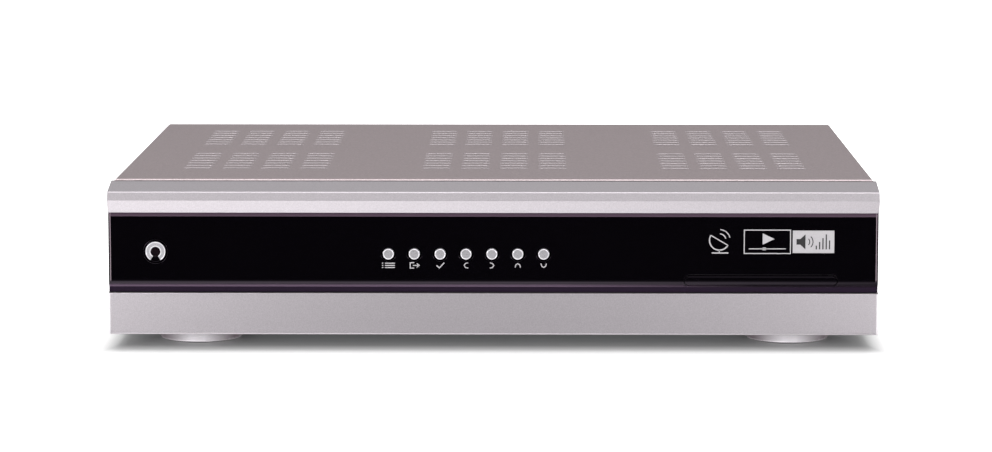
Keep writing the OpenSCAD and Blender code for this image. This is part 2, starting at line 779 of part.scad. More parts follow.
module chassis_tray() {
    card_way_w = slot_w + 4;
    card_way_h = 16;
    color(zinc) in_place() difference() {
        union() {
            block([-tray_half, upstand_u, tray_lift], [tray_half, rear_in, tray_top]);
            block([-tray_half, upstand_u, tray_lift], [tray_half, upstand_u + sheet_t, upstand_top]);
            block([-tray_half, rear_flange_u, tray_lift], [tray_half, rear_in, tray_lift + flange_rear_h]);
            for (s = [-1, 1]) translate([s * (tray_half - sheet_t / 2), 0, 0])
                block([-sheet_t / 2, upstand_u, tray_lift],
                      [sheet_t / 2, rear_in, tray_lift + flange_side_h]);
        }
        // ways of the card and of the ribbon cable
        translate([slot_x, 0, slot_z]) along_u(upstand_u - 1, upstand_u + sheet_t + 1)
            square([card_way_w, card_way_h], center = true);
        block([ribbon_x - ribbon_w / 2 - 3, upstand_u - 1, tray_top + 4],
              [ribbon_x + ribbon_w / 2 + 3, upstand_u + sheet_t + 1, ribbon_z + 4]);
        // screw holes
        for (s = [-1, 1], z = bezel_screw_zs)
            bar_u(cover_screw_r + screw_fit, upstand_u - 1, upstand_u + sheet_t + 1, s * bezel_screw_x, z);
        for (x = flange_screw_xs)
            bar_u(small_screw_r + screw_fit, rear_flange_u - 1, rear_in + 1, x, flange_screw_z);
        for (u = side_screw_us) bar_x(cover_screw_r + screw_fit, -case_w, case_w, u, side_screw_z);
        for (x = [-foot_x, foot_x], u = foot_us) translate([x, u, tray_lift - 1])
            cylinder(r = foot_screw_r + screw_fit, h = sheet_t + 2);
        // cooling slots under the boards
        translate([0, 0, tray_lift - 1]) linear_extrude(sheet_t + 2)
            for (x = tray_vent_xs, i = [-4 : 4])
                translate([x, case_u + case_d / 2 + i * tray_vent_pitch])
                    stadium(tray_vent_len, tray_vent_w);
    }
}

module rear_panel() {
    fit = socket_fit;
    vent_x = rear_screw_xs[0] + 5;
    rear_vent_pitch = 7;
    rear_vent_len = 14;
    rear_vent_w = 2.6;
    vent_drop = 18;
    color(zinc) in_place() difference() {
        block([-tray_half, rear_in, tray_lift], [tray_half, rear_u, rear_panel_top]);
        along_u(rear_in - 1, rear_u + 1) {
            for (x = f_xs) translate([x, f_z]) circle(f_d / 2 + fit);
            for (s = [-1, 1]) translate([modulator_x, aerial_z + s * aerial_pitch / 2])
                circle(aerial_r + 1 + fit);
            for (i = [-0.5, 0.5], k = [0, 1])
                translate([phono_x + i * phono_pitch, phono_z + k * phono_pitch])
                    circle(phono_d / 2 + phono_collar + fit);
            for (x = [tv_x, vcr_x]) translate([x, board_top + scart_h / 2])
                square([scart_w - 1, scart_h - 1], center = true);
            translate([serial_x, serial_z]) square([20, 11], center = true);
            for (s = [-1, 1]) translate([serial_x + s * 12.5, serial_z]) circle(1.3 + fit);
            translate([inlet_x, inlet_z]) square([inlet_w + 2 * fit, inlet_h + 2 * fit], center = true);
            translate([switch_x, switch_z])
                square([switch_w - 2 + 2 * fit, switch_h - 2 + 2 * fit], center = true);
        }
        for (x = rear_screw_xs) bar_u(cover_screw_r + screw_fit, rear_in - 1, rear_u + 1, x, rear_screw_z);
        for (x = flange_screw_xs)
            bar_u(small_screw_r + screw_fit, rear_in - 1, rear_u + 1, x, flange_screw_z);
        // cooling slots high over the sockets
        along_u(rear_in - 1, rear_u + 1) for (i = [0 : 11])
            translate([vent_x + i * rear_vent_pitch, rear_panel_top - vent_drop])
                rotate(90) stadium(rear_vent_len, rear_vent_w);
    }
}

module panel_screws() {
    color(zinc) in_place() for (x = flange_screw_xs) translate([x, rear_u, flange_screw_z])
        screw_u(small_screw_r, 2 * sheet_t + 2, small_head_r, 1.4);
}

module bezel_screws() {
    bezel_grip = 8;
    color(zinc) in_place() for (s = [-1, 1], z = bezel_screw_zs)
        translate([s * bezel_screw_x, upstand_u + sheet_t, z])
            screw_u(cover_screw_r, sheet_t + bezel_grip, cover_head_r, 1.6);
}

module at_feet() {
    for (x = [-foot_x, foot_x], u = foot_us) translate([x, u, 0]) children();
}

module foot_bodies() {
    soft = 1.2;
    pad_seat = foot_z + pad_t - pad_reach;
    head_seat = foot_z + 4.6;
    color(silver) in_place() at_feet() rotate_extrude() difference() {
        union() {
            polygon([[0, foot_z], [foot_low_r - soft, foot_z], [foot_low_r, foot_z + soft],
                     [foot_r, tray_lift - 0.8], [foot_r, tray_lift], [0, tray_lift]]);
            translate([foot_low_r - soft, foot_z + soft]) intersection() {
                circle(soft);
                translate([0, -soft]) square(soft);
            }
        }
        translate([-1, foot_z - 1]) square([pad_r + run_fit + 1, pad_seat - foot_z + 1]);
        translate([-1, pad_seat - 1]) square([cover_head_r + 1.8 + 1, head_seat - pad_seat + 1]);
        translate([-1, head_seat - 1]) square([foot_screw_r + screw_fit + 1, 20]);
    }
}

module foot_pads() {
    color(plastic_black) in_place() at_feet() translate([0, 0, -ground_gap]) difference() {
        cylinder(r = pad_r, h = pad_t);
        translate([0, 0, -1]) cylinder(r = pad_hole_r, h = pad_t + 2);
    }
}

module foot_screws() {
    head_seat = foot_z + 4.6;
    color(zinc) in_place() at_feet() translate([0, 0, head_seat])
        rotate([180, 0, 0]) screw_z(foot_screw_r, tray_top - head_seat + 3, cover_head_r + 1, 1.8);
}

// ---- boards and what they carry ----

post_margin = 6;
mid_post_shift = 8;
rear_post_back = 68;
mid_post_x = (main_left + main_right) / 2 - mid_post_shift;
main_posts = [for (x = [main_left + post_margin, mid_post_x, main_right - post_margin],
                   u = [board_end - main_d + post_margin, board_end - rear_post_back]) [x, u]];
power_posts = [for (x = [power_left + 5, power_right - 5],
                    u = [board_end - power_d + 6, board_end - 62]) [x, u]];
card_posts = [for (x = card_post_xs, u = card_post_us) [x, u]];

module main_board() {
    color(board_green) in_place() difference() {
        block([main_left, board_end - main_d, board_z], [main_right, board_end, board_top]);
        for (p = main_posts) translate([p[0], p[1], board_z - 1])
            cylinder(r = small_screw_r + screw_fit, h = board_t + 2);
    }
}

module power_board() {
    color([0.45, 0.34, 0.16]) in_place() difference() {
        block([power_left, board_end - power_d, board_z], [power_right, board_end, board_top]);
        for (p = power_posts) translate([p[0], p[1], board_z - 1])
            cylinder(r = small_screw_r + screw_fit, h = board_t + 2);
    }
}

module standoff(h) {
    thread_d = 6;
    difference() {
        cylinder(r = standoff_r, h = h);
        translate([0, 0, h - thread_d]) cylinder(r = small_screw_r + screw_fit, h = thread_d + 1);
    }
}

module board_standoffs() {
    color(zinc) in_place() {
        for (p = concat(main_posts, power_posts)) translate([p[0], p[1], tray_top]) standoff(standoff_h);
        for (p = card_posts) translate([p[0], p[1], tray_top]) standoff(card_board_z - tray_top);
    }
}

module board_screws() {
    color(zinc) in_place() {
        for (p = concat(main_posts, power_posts)) translate([p[0], p[1], board_top])
            screw_z(small_screw_r, board_t + 4, small_head_r, 1.4);
        for (p = card_posts) translate([p[0], p[1], card_board_z + board_t])
            screw_z(small_screw_r, board_t + 4, small_head_r, 1.4);
        for (x = board_boss_xs) translate([x, front_board_u + board_t, board_boss_z])
            screw_u(small_screw_r, board_t + 4, small_head_r, 0.9);
    }
}

module decoder_chip() {
    color(plastic_black) in_place() translate([decoder_x, decoder_u, board_top])
        linear_extrude(chip_t) square(decoder_w, center = true);
}

// a finned aluminium block standing on its base, fins along u
module finned_block(wide, deep, high, base, fins, fin_t) {
    translate([-wide / 2, -deep / 2, 0]) cube([wide, deep, base]);
    for (i = [0 : fins - 1])
        translate([-wide / 2 + i * (wide - fin_t) / (fins - 1), -deep / 2, 0]) cube([fin_t, deep, high]);
}

module decoder_heat_sink() {
    sink_w = decoder_w + 4;
    sink_h = 12;
    sink_base = 2.5;
    fin_t = 1.2;
    color(zinc) in_place() translate([decoder_x, decoder_u, board_top + chip_t])
        finned_block(sink_w, sink_w, sink_h, sink_base, 9, fin_t);
}

module memory_chips() {
    memory_t = 1.2;
    memory_w = 12;
    memory_d = 22;
    memory_shift = 40;
    memory_pitch = 18;
    memory_xs = [decoder_x - memory_shift, decoder_x + memory_shift,
                 decoder_x + memory_shift + memory_pitch];
    color(plastic_black) in_place() for (x = memory_xs)
        translate([x, decoder_u, board_top]) linear_extrude(memory_t)
            square([memory_w, memory_d], center = true);
}

ribbon_w = 26;
ribbon_side = 3;
ribbon_lift = 6;
ribbon_post_gap = 3.55;
// the ribbon cable's socket stands beside the middle post's screw
ribbon_x = mid_post_x - small_head_r - ribbon_post_gap - ribbon_side - ribbon_w / 2;
ribbon_z = front_board_z + ribbon_lift;
ribbon_socket_u = board_end - main_d + post_margin;
lead_w = 16;
socket_h = 6;
socket_w = 6;
low_socket_h = 2.2;

module board_sockets() {
    color([0.90, 0.88, 0.82]) in_place() {
        // on the main board and the front board for the ribbon cable
        translate([ribbon_x, ribbon_socket_u, board_top]) linear_extrude(socket_h)
            square([ribbon_w + 2 * ribbon_side, socket_w], center = true);
        translate([ribbon_x, front_board_u + board_t, ribbon_z]) along_u(0, low_socket_h)
            square([ribbon_w + 2 * ribbon_side, socket_w], center = true);
        // on the main board and the power board for the power lead
        for (x = [main_left + socket_w, power_right - socket_w]) translate([x, lead_u, board_top])
            linear_extrude(socket_h) square([socket_w, lead_w + 4], center = true);
    }
}

// a flat cable's side view: a strip of even thickness that follows corner points, with mitred bends
module strip(points, thick) {
    last = len(points) - 1;
    dirs = [for (i = [0 : last - 1]) (points[i + 1] - points[i]) / norm(points[i + 1] - points[i])];
    mitres = [for (i = [0 : last])
        let (a = dirs[max(i - 1, 0)], b = dirs[min(i, last - 1)], m = (a + b) / norm(a + b))
            [-m[1], m[0]] / (m * a)];
    polygon(concat([for (i = [0 : last]) points[i] - mitres[i] * thick / 2],
                   [for (i = [last : -1 : 0]) points[i] + mitres[i] * thick / 2]));
}

module ribbon_cable() {
    from = front_board_u + board_t + low_socket_h;
    over = board_top + socket_h;
    color([0.80, 0.80, 0.82]) in_place() translate([ribbon_x, 0, 0]) along_x(ribbon_w)
        strip([[from, ribbon_z], [from + 20, ribbon_z], [from + 40, over + 6],
               [ribbon_socket_u - 20, over + 6], [ribbon_socket_u, over + 5], [ribbon_socket_u, over]], 0.8);
}

module power_lead() {
    over = board_top + socket_h;
    a = power_right - socket_w;
    b = main_left + socket_w;
    rise = 7;
    bend = 4;
    crest = over + rise + bend / 2;
    wire_d = 1.2;
    color([0.75, 0.2, 0.15]) in_place() along_u(lead_u - lead_w / 2, lead_u + lead_w / 2)
        strip([[a, over], [a, over + rise], [a + bend, crest],
               [b - bend, crest], [b, over + rise], [b, over]], wire_d);
}

// ---- rear sockets ----

module tuner_can() {
    color(zinc) in_place() difference() {
        block([tuner_x - tuner_w / 2, rear_in - tuner_d, board_top],
              [tuner_x + tuner_w / 2, rear_in, board_top + tuner_h]);
        for (k = [0 : 4]) translate([tuner_x, rear_in - 14 - k * 8, board_top + tuner_h - 0.4])
            linear_extrude(1) stadium(tuner_w - 10, 2);
    }
}

// a hexagon along u, as wide as flats
module hexagon_u(flats, u0, u1, x, z) {
    along_u(u0, u1) translate([x, z])
        polygon([for (k = [0 : 5]) flats / sqrt(3) * [cos(60 * k), sin(60 * k)]]);
}

// an F connector: its nut against the rear panel, its neck, its barrel and the hole for the core
module f_connector(x) {
    nut_flats = 12;
    nut_t = 1.8;
    neck_depth = 0.3;
    neck_len = 0.3;
    core_hole_r = 0.9;
    insulator_r = 3.1;
    insulator_step = 1.2;
    color(zinc) in_place() difference() {
        union() {
            bar_u(f_d / 2 - neck_depth, rear_in, rear_u + f_len, x, f_z);
            bar_u(f_d / 2, rear_u + nut_t + neck_len, rear_u + f_len, x, f_z);
            hexagon_u(nut_flats, rear_u, rear_u + nut_t, x, f_z);
        }
        bar_u(core_hole_r, rear_u + 1, rear_u + f_len + 1, x, f_z);
        bar_u(insulator_r, rear_u + f_len - insulator_step, rear_u + f_len + 1, x, f_z);
    }
}

module lnb_input() f_connector(f_xs[0]);
module loop_output() f_connector(f_xs[1]);

module modulator_can() {
    color(zinc) in_place() block([modulator_x - modulator_w / 2, rear_in - modulator_d, board_top],
        [modulator_x + modulator_w / 2, rear_in, board_top + modulator_h]);
}

// aerial in at the top, with its centre socket; aerial out below it, with its centre pin
module aerial_sockets() {
    end = rear_u + aerial_len;
    color(zinc) in_place() {
        translate([modulator_x, 0, aerial_z + aerial_pitch / 2]) {
            difference() {
                bar_u(aerial_r + 1, rear_in, end);
                bar_u(aerial_r, rear_u, end + 1);
            }
            difference() {
                bar_u(2, rear_u - 0.5, end - 1);
                bar_u(1.2, rear_u + 1, end);
            }
        }
        translate([modulator_x, 0, aerial_z - aerial_pitch / 2]) {
            difference() {
                bar_u(aerial_r, rear_in, end);
                bar_u(aerial_r - 0.75, rear_u, end + 1);
            }
            bar_u(1.15, rear_u - 0.5, end - 0.5);
        }
    }
}

// outline of the SCART contact island or of the groove round it, with its cut corner
module scart_outline(grow) {
    w = 37 + 2 * grow;
    h = 8.5 + 2 * grow;
    cut = 3.5;
    polygon([[-w / 2 + 1, -h / 2], [w / 2 - cut, -h / 2], [w / 2, -h / 2 + cut],
             [w / 2 - 0.6, h / 2], [-w / 2, h / 2], [-w / 2, -h / 2 + 1]]);
}

module scart_socket(x) {
    reach = 0.8;
    groove = 10;
    mid = board_top + scart_h / 2;
    contact_pitch = 3.4;
    contact_shift = 0.6;
    contact_row = 2.2;
    contact_w = 0.9;
    contact_h = 2.6;
    color(plastic_black) in_place() translate([x, 0, mid]) difference() {
        union() {
            along_u(rear_in - scart_d, rear_in) square([scart_w, scart_h], center = true);
            along_u(rear_in - 1, rear_u + reach)
                square([scart_w - 1 - 2 * socket_fit, scart_h - 1 - 2 * socket_fit], center = true);
        }
        along_u(rear_u + reach - groove, rear_u + reach + 1) difference() {
            scart_outline(1.5);
            scart_outline(0);
        }
        along_u(rear_u + reach - groove + 2, rear_u + reach + 1)
            for (i = [-4.5 : 1 : 4.5], k = [-1, 1])
                translate([i * contact_pitch + k * contact_shift, k * contact_row])
                    square([contact_w, contact_h], center = true);
    }
}

module tv_scart() scart_socket(tv_x);
module vcr_scart() scart_socket(vcr_x);

module at_phonos() {
    for (i = [-0.5, 0.5], k = [0, 1])
        translate([phono_x + i * phono_pitch, 0, phono_z + k * phono_pitch]) children();
}

phono_seat = 0.5;

module phono_block() {
    phono_hole_r = 1.65;
    phono_hole_len = 11;
    color(plastic_black) in_place() difference() {
        union() {
            block([phono_x - phono_w / 2, rear_in - phono_block_d, board_top],
                  [phono_x + phono_w / 2, rear_in, board_top + 2 * phono_pitch]);
            at_phonos() bar_u(phono_d / 2 - phono_wall, rear_in - 1, rear_u + phono_len - 0.6);
            at_phonos() bar_u(phono_d / 2 + phono_collar, rear_in - 1, rear_u + phono_seat);
        }
        at_phonos() bar_u(phono_hole_r, rear_u + phono_len - phono_hole_len, rear_u + phono_len);
    }
}

module phono_shells() {
    color(zinc) in_place() at_phonos() difference() {
        bar_u(phono_d / 2, rear_u + phono_seat, rear_u + phono_len);
        bar_u(phono_d / 2 - phono_wall, rear_u, rear_u + phono_len + 1);
    }
}

module serial_port() {
    shell_w = 17;
    shell_h = 8.6;
    lean = 0.9;
    shell_len = 6;
    body_h = 12.6;
    contact_r = 0.55;
    contact_pitch = 2.76;
    contact_row = 1.42;
    post_pitch = 25;
    post_flats = 5;
    post_len = 5;
    post_hole_r = 1.3;
    color(zinc) in_place() translate([serial_x, 0, serial_z]) difference() {
        union() {
            along_u(rear_in - body_h, rear_in) square([serial_w, body_h], center = true);
            for (s = [-1, 1]) {
                bar_u(post_hole_r, rear_in - 1, rear_u + 1, s * post_pitch / 2);
                hexagon_u(post_flats, rear_u, rear_u + post_len, s * post_pitch / 2, 0);
            }
            along_u(rear_in - 1, rear_u + shell_len)
                polygon([[-shell_w / 2 + lean, -shell_h / 2], [shell_w / 2 - lean, -shell_h / 2],
                         [shell_w / 2, shell_h / 2], [-shell_w / 2, shell_h / 2]]);
        }
        for (s = [-1, 1]) bar_u(post_hole_r, rear_u + 1, rear_u + post_len + 1, s * post_pitch / 2);
        for (i = [-2 : 2]) bar_u(contact_r, rear_u, rear_u + shell_len + 1, i * contact_pitch, contact_row);
        for (i = [-1.5 : 1 : 1.5])
            bar_u(contact_r, rear_u, rear_u + shell_len + 1, i * contact_pitch, -contact_row);
    }
}

// ---- power supply ----

// distance that each piece stands ahead of the boards' rear edge
fuse_back = 36;
choke_back = 42;
primary_back = 78;
transformer_back = 82;
output_back = 105;
sink_back = 134;
start_back = 143;
// space from the power board's side to what stands on it
side_margin = 2;

core_w = 33;
core_d = 30;
core_h = 27;
core_side = 7;
core_yoke = 5;
core_lift = 4;
transformer_x = power_right - side_margin - core_w / 2;
transformer_u = board_end - transformer_back;

module transformer_core() {
    half_d = 8;
    color([0.2, 0.2, 0.21]) in_place() translate([transformer_x, transformer_u, board_top]) difference() {
        block([-core_w / 2, -half_d, core_lift], [core_w / 2, half_d, core_h]);
        block([-core_w / 2 + core_side, -half_d - 1, core_lift + core_yoke],
              [core_w / 2 - core_side, half_d + 1, core_h - core_yoke]);
    }
}

// the taped winding through the core, on the bobbin's two feet
module transformer_winding() {
    gap = 0.3;
    foot_d = 4;
    foot_w = 12;
    half_w = core_w / 2 - core_side - gap;
    low = core_lift + core_yoke + gap;
    color([0.85, 0.68, 0.16]) in_place() translate([transformer_x, transformer_u, board_top]) {
        block([-half_w, -core_d / 2, low], [half_w, core_d / 2, core_h - core_yoke - gap]);
        for (s = [-1, 1]) translate([0, s * (core_d - foot_d) / 2, 0]) {
            block([-core_w / 2, -foot_d / 2, 0], [core_w / 2, foot_d / 2, core_lift - gap]);
            block([-foot_w / 2, -foot_d / 2, 0], [foot_w / 2, foot_d / 2, low + 1]);
        }
    }
}

module can_capacitor(r, h) {
    difference() {
        cylinder(r = r, h = h);
        translate([0, 0, 2]) rotate_extrude() translate([r + 0.5, 0]) circle(1, $fn = 24);
        translate([0, 0, h - 0.3]) for (turn = [0, 90]) rotate(turn) cube([r, 0.5, 1], center = true);
    }
}

module power_capacitors() {
    primary_r = 9;
    primary_h = 32;
    output_r = 4.5;
    output_h = 20;
    output_pitch = 12;
    start_r = 4;
    start_h = 12;
    output_x = power_right - side_margin - output_r;
    start_x = output_x - output_pitch + start_r;
    color([0.10, 0.14, 0.24]) in_place() {
        translate([power_left + side_margin + primary_r, board_end - primary_back, board_top])
            can_capacitor(primary_r, primary_h);
        for (k = [0 : 2]) translate([output_x - k * output_pitch, board_end - output_back, board_top])
            can_capacitor(output_r, output_h);
        translate([start_x, board_end - start_back, board_top]) can_capacitor(start_r, start_h);
    }
}

module power_heat_sink() {
    sink_w = 44;
    sink_t = 2;
    sink_h = 26;
    fin_len = 10;
    fins = 6;
    color(zinc) in_place() translate([power_left + side_margin + 1, board_end - sink_back, board_top]) {
        cube([sink_w, sink_t, sink_h]);
        for (i = [0 : fins - 1]) translate([i * (sink_w - sink_t) / (fins - 1), sink_t - EPS, 0])
            cube([sink_t, fin_len, sink_h]);
    }
}

module line_choke() {
    choke_r = 8;
    choke_hole_r = 3;
    choke_len = 14;
    color([0.72, 0.42, 0.2]) in_place() translate([inlet_x, board_end - choke_back, board_top + choke_r])
        rotate([90, 0, 0]) difference() {
            cylinder(r = choke_r, h = choke_len, center = true);
            cylinder(r = choke_hole_r, h = choke_len + 2, center = true);
        }
}

// a glass fuse along x in its two clips
module mains_fuse() {
    fuse_r = 2.5;
    fuse_len = 20;
    fuse_z = 7;
    clip_w = 4;
    clip_d = 7;
    clip_h = 8;
    color([0.8, 0.82, 0.8]) in_place()
        translate([power_right - side_margin - fuse_len / 2 - 1, board_end - fuse_back, board_top]) {
            bar_x(fuse_r, -fuse_len / 2, fuse_len / 2, 0, fuse_z);
            for (s = [-1, 1]) translate([s * (fuse_len - clip_w) / 2, 0, clip_h / 2])
                cube([clip_w, clip_d, clip_h], center = true);
        }
}

module figure_eight(r) {
    for (s = [-1, 1]) translate([s * inlet_pitch / 2, 0]) circle(r);
    square([inlet_pitch, 1.4 * r], center = true);
}

module mains_inlet() {
    color(plastic_black) in_place() translate([inlet_x, 0, inlet_z]) difference() {
        union() {
            along_u(rear_in - inlet_d, rear_u + 0.6) square([inlet_w, inlet_h], center = true);
            along_u(rear_u, rear_u + 1.4) square([inlet_w + 4, inlet_h + 2], center = true);
            along_u(rear_in - 3, rear_in) square([inlet_w + 4, inlet_h + 2], center = true);
            block([-inlet_w / 2 + 2, rear_in - inlet_d, board_top - inlet_z],
                  [inlet_w / 2 - 2, rear_in - 6, 0]);
        }
        along_u(rear_u - 11, rear_u + 3) figure_eight(inlet_bore_r);
        for (s = [-1, 1]) bar_u(inlet_pin_r, rear_in - inlet_d - 1, rear_u, s * inlet_pitch / 2, 0);
    }
}

module inlet_pins() {
    color([0.8, 0.68, 0.35]) in_place() for (s = [-1, 1])
        bar_u(inlet_pin_r, rear_in - inlet_d - 2, rear_u - 1.5, inlet_x + s * inlet_pitch / 2, inlet_z);
}

rocker_pivot_u = rear_u - 0.5;

module switch_housing() {
    color(plastic_black) in_place() translate([switch_x, 0, switch_z]) difference() {
        union() {
            along_u(rear_in - switch_d, rear_u + EPS) square([switch_w - 2, switch_h - 2], center = true);
            along_u(rear_u, rear_u + switch_frame_t) square([switch_w, switch_h], center = true);
            for (s = [-1, 1])
                block([-2, rear_in - switch_d - 6, s * 5 - 0.4], [2, rear_in - switch_d + 1, s * 5 + 0.4]);
        }
        along_u(rear_u - 9, rear_u + 3) square([rocker_w + 0.6, rocker_h + 0.6], center = true);
        bar_x(rocker_r + run_fit, -switch_w / 2 + 1, switch_w / 2 - 1, rocker_pivot_u, 0);
    }
}

module mains_rocker() {
    reach = 3.2;
    color([0.15, 0.15, 0.16]) in_place() translate([switch_x, rocker_pivot_u, switch_z])
        rotate([rocker_tilt, 0, 0]) {
            along_x(rocker_w) polygon([
                [-3.5, -3], [-1, -rocker_h / 2 + 0.8], [reach + 0.8, -rocker_h / 2 + 0.5],
                [reach - 0.8, 0],
                [reach + 0.8, rocker_h / 2 - 0.5], [-1, rocker_h / 2 - 0.8], [-3.5, 3]]);
            bar_x(rocker_r, -rocker_w / 2 - 0.9, rocker_w / 2 + 0.9);
        }
}

chassis_tray();
rear_panel();
top_cover();
cover_screws();
panel_screws();
bezel_screws();
foot_bodies();
foot_pads();
foot_screws();
front_bezel();
front_window();
standby_button();
standby_ring();
standby_lens();
menu_button();
exit_button();
ok_button();
left_button();
right_button();
up_button();
down_button();
card_flap();
card_reader_base();
card_reader_lid();
card_board();
front_board();
tact_switches();
digit_display();
infrared_receiver();
status_light();
main_board();
board_standoffs();
board_screws();
decoder_chip();
decoder_heat_sink();
memory_chips();
board_sockets();
ribbon_cable();
power_lead();
tuner_can();
lnb_input();
loop_output();
modulator_can();
aerial_sockets();
tv_scart();
vcr_scart();
phono_block();
phono_shells();
serial_port();
power_board();
transformer_core();
transformer_winding();
power_capacitors();
power_heat_sink();
line_choke();
mains_fuse();
mains_inlet();
inlet_pins();
switch_housing();
mains_rocker();
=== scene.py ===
"""Looks of a free-standing satellite television receiver: finishes, printed marks, rims and studio."""

import json
import math

import bmesh
import bpy
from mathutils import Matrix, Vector


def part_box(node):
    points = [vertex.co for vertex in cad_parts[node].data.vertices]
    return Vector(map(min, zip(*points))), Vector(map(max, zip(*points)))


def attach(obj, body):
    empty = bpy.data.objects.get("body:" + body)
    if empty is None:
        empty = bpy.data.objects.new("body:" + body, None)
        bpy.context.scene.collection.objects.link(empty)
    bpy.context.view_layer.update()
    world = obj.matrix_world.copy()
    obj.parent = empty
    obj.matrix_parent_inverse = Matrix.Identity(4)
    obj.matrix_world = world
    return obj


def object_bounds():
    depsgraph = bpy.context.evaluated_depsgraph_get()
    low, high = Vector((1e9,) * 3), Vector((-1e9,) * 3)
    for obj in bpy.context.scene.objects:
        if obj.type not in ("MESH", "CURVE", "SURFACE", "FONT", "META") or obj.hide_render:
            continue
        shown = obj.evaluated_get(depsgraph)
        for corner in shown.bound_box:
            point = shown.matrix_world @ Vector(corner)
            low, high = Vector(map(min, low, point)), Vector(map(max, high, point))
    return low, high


bl_info = {
    "name": "Satellite receiver",
    "version": (1, 0, 0),
    "blender": (4, 5, 0),
    "location": "3D View > Sidebar > Receiver",
    "description": "Dresses the receiver with its finishes, printed marks and studio",
    "category": "Object",
}

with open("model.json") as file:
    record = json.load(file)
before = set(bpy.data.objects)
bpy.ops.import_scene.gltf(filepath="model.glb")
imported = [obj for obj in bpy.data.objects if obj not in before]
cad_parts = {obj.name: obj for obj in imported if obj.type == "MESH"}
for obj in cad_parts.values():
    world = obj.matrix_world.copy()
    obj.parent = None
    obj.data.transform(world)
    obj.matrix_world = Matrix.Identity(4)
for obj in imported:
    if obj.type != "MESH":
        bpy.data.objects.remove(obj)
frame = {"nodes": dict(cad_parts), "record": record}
CAD_BOX = [list(corner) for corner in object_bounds()]

MM = 0.001
ROW_BUTTONS = ["menu", "exit", "ok", "left", "right", "up", "down"]

# places that the finishes and the floor follow
COVER_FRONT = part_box("top_cover")[0][1]
WINDOW_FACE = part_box("front_window")[0][1]
WINDOW_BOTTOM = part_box("front_window")[0][2]
WINDOW_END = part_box("front_window")[1][0]
WINDOW_MIDDLE = (WINDOW_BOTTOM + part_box("front_window")[1][2]) / 2
BEZEL_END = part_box("front_bezel")[1][0]
HALF_WIDTH, HALF_DEPTH = CAD_BOX[1][:2]

# what a finish can follow, as the node and its output: a place in metres, the direction that a surface
# faces, and the direction of the studio that is looked at
PLACE = ("ShaderNodeTexCoord", "Object")
FACING = ("ShaderNodeNewGeometry", "Normal")
LOOKING = ("ShaderNodeTexCoord", "Generated")

# cooling slots: groups from left to right, rows from front to back, columns in a group's row, and slots
# in a column
SLOT_GROUPS = (-1, 0, 1)
SLOT_ROWS = (0, 1)
ROW_COLUMNS = 4
COLUMN_SLOTS = 7


# ---- small helpers ----

def linear(code):
    """Turns an sRGB hex colour into linear red, green, blue and alpha."""
    def channel(value):
        return value / 12.92 if value <= 0.04045 else ((value + 0.055) / 1.055) ** 2.4
    return tuple(channel(int(code[i:i + 2], 16) / 255) for i in (0, 2, 4)) + (1.0,)


def add(tree, kind, inputs=None, **settings):
    """Adds one shader node; inputs holds the values or sockets that feed it, settings its own values."""
    made = tree.nodes.new(kind)
    for name, value in settings.items():
        setattr(made, name, value)
    for key, value in (inputs or {}).items():
        if isinstance(value, bpy.types.NodeSocket):
            tree.links.new(value, made.inputs[key])
        else:
            made.inputs[key].default_value = value
    return made


def start_material(name, **sockets):
    """A new material with one Principled shader, whose sockets are set by name."""
    material = bpy.data.materials.new(name)
    material.use_nodes = True
    tree = material.node_tree
    tree.nodes.clear()
    inputs = {key.replace("_", " "): value for key, value in sockets.items()}
    shader = add(tree, "ShaderNodeBsdfPrincipled", inputs)
    add(tree, "ShaderNodeOutputMaterial", {"Surface": shader.outputs[0]})
    return material, tree, shader


def along(tree, source):
    """X, Y and Z of what a finish follows: PLACE, FACING or LOOKING."""
    kind, output = source
    vector = add(tree, kind).outputs[output]
    return add(tree, "ShaderNodeSeparateXYZ", {"Vector": vector}).outputs


def aside(tree, source, axis="X"):
    """How far PLACE, FACING or LOOKING lies from the middle, to either side."""
    return add(tree, "ShaderNodeMath", {0: along(tree, source)[axis]}, operation="ABSOLUTE").outputs[0]


def product(tree, *factors):
    """Multiplies masks. A mask is a socket, or a value with the two ends of the range in which it goes
    from 0 to 1, or from the level given for one end to the level given for the other."""
    result = None
    for factor in factors:
        if isinstance(factor, tuple):
            value, start, end, start_level, end_level = (*factor, 0, 1)[:5]
            factor = add(tree, "ShaderNodeMapRange", {
                "Value": value, "From Min": start, "From Max": end,
                "To Min": start_level, "To Max": end_level}).outputs["Result"]
        if result is not None:
            factor = add(tree, "ShaderNodeMath", {0: result, 1: factor}, operation="MULTIPLY").outputs[0]
        result = factor
    return result


def per_mm(size_mm):
    """Scale of a pattern, in object metres, whose marks are about size_mm apart."""
    return 1 / (size_mm * MM)


def grain(tree, size_mm, detail=2.0, roughness=0.5):
    """An uneven pattern whose grains are about size_mm apart."""
    place = add(tree, "ShaderNodeTexCoord").outputs["Object"]
    return add(tree, "ShaderNodeTexNoise", {"Vector": place, "Scale": per_mm(size_mm), "Detail": detail,
                                            "Roughness": roughness}).outputs["Fac"]


def turns(tree, axis, pitch_mm):
    """A wave between -1 and 1 along an axis, for wires that lie pitch_mm apart."""
    phase = add(tree, "ShaderNodeMath", {0: along(tree, PLACE)[axis], 1: math.tau / (pitch_mm * MM)},
                operation="MULTIPLY")
    return add(tree, "ShaderNodeMath", {0: phase.outputs[0]}, operation="SINE").outputs[0]


def layered(tree, ground, *layers):
    """A ground colour and, over it, layers of a mask and the colour that shows where it is 1."""
    for mask, colour in layers:
        # a Mix node has its two colours in sockets 6 and 7, and gives a colour from socket 2
        ground = add(tree, "ShaderNodeMix", {0: mask, 6: ground, 7: colour}, data_type="RGBA").outputs[2]
    return ground


def paint(tree, shader, ground, *layers):
    """Colours the shader with a ground and layers over it."""
    tree.links.new(layered(tree, ground, *layers), shader.inputs["Base Color"])


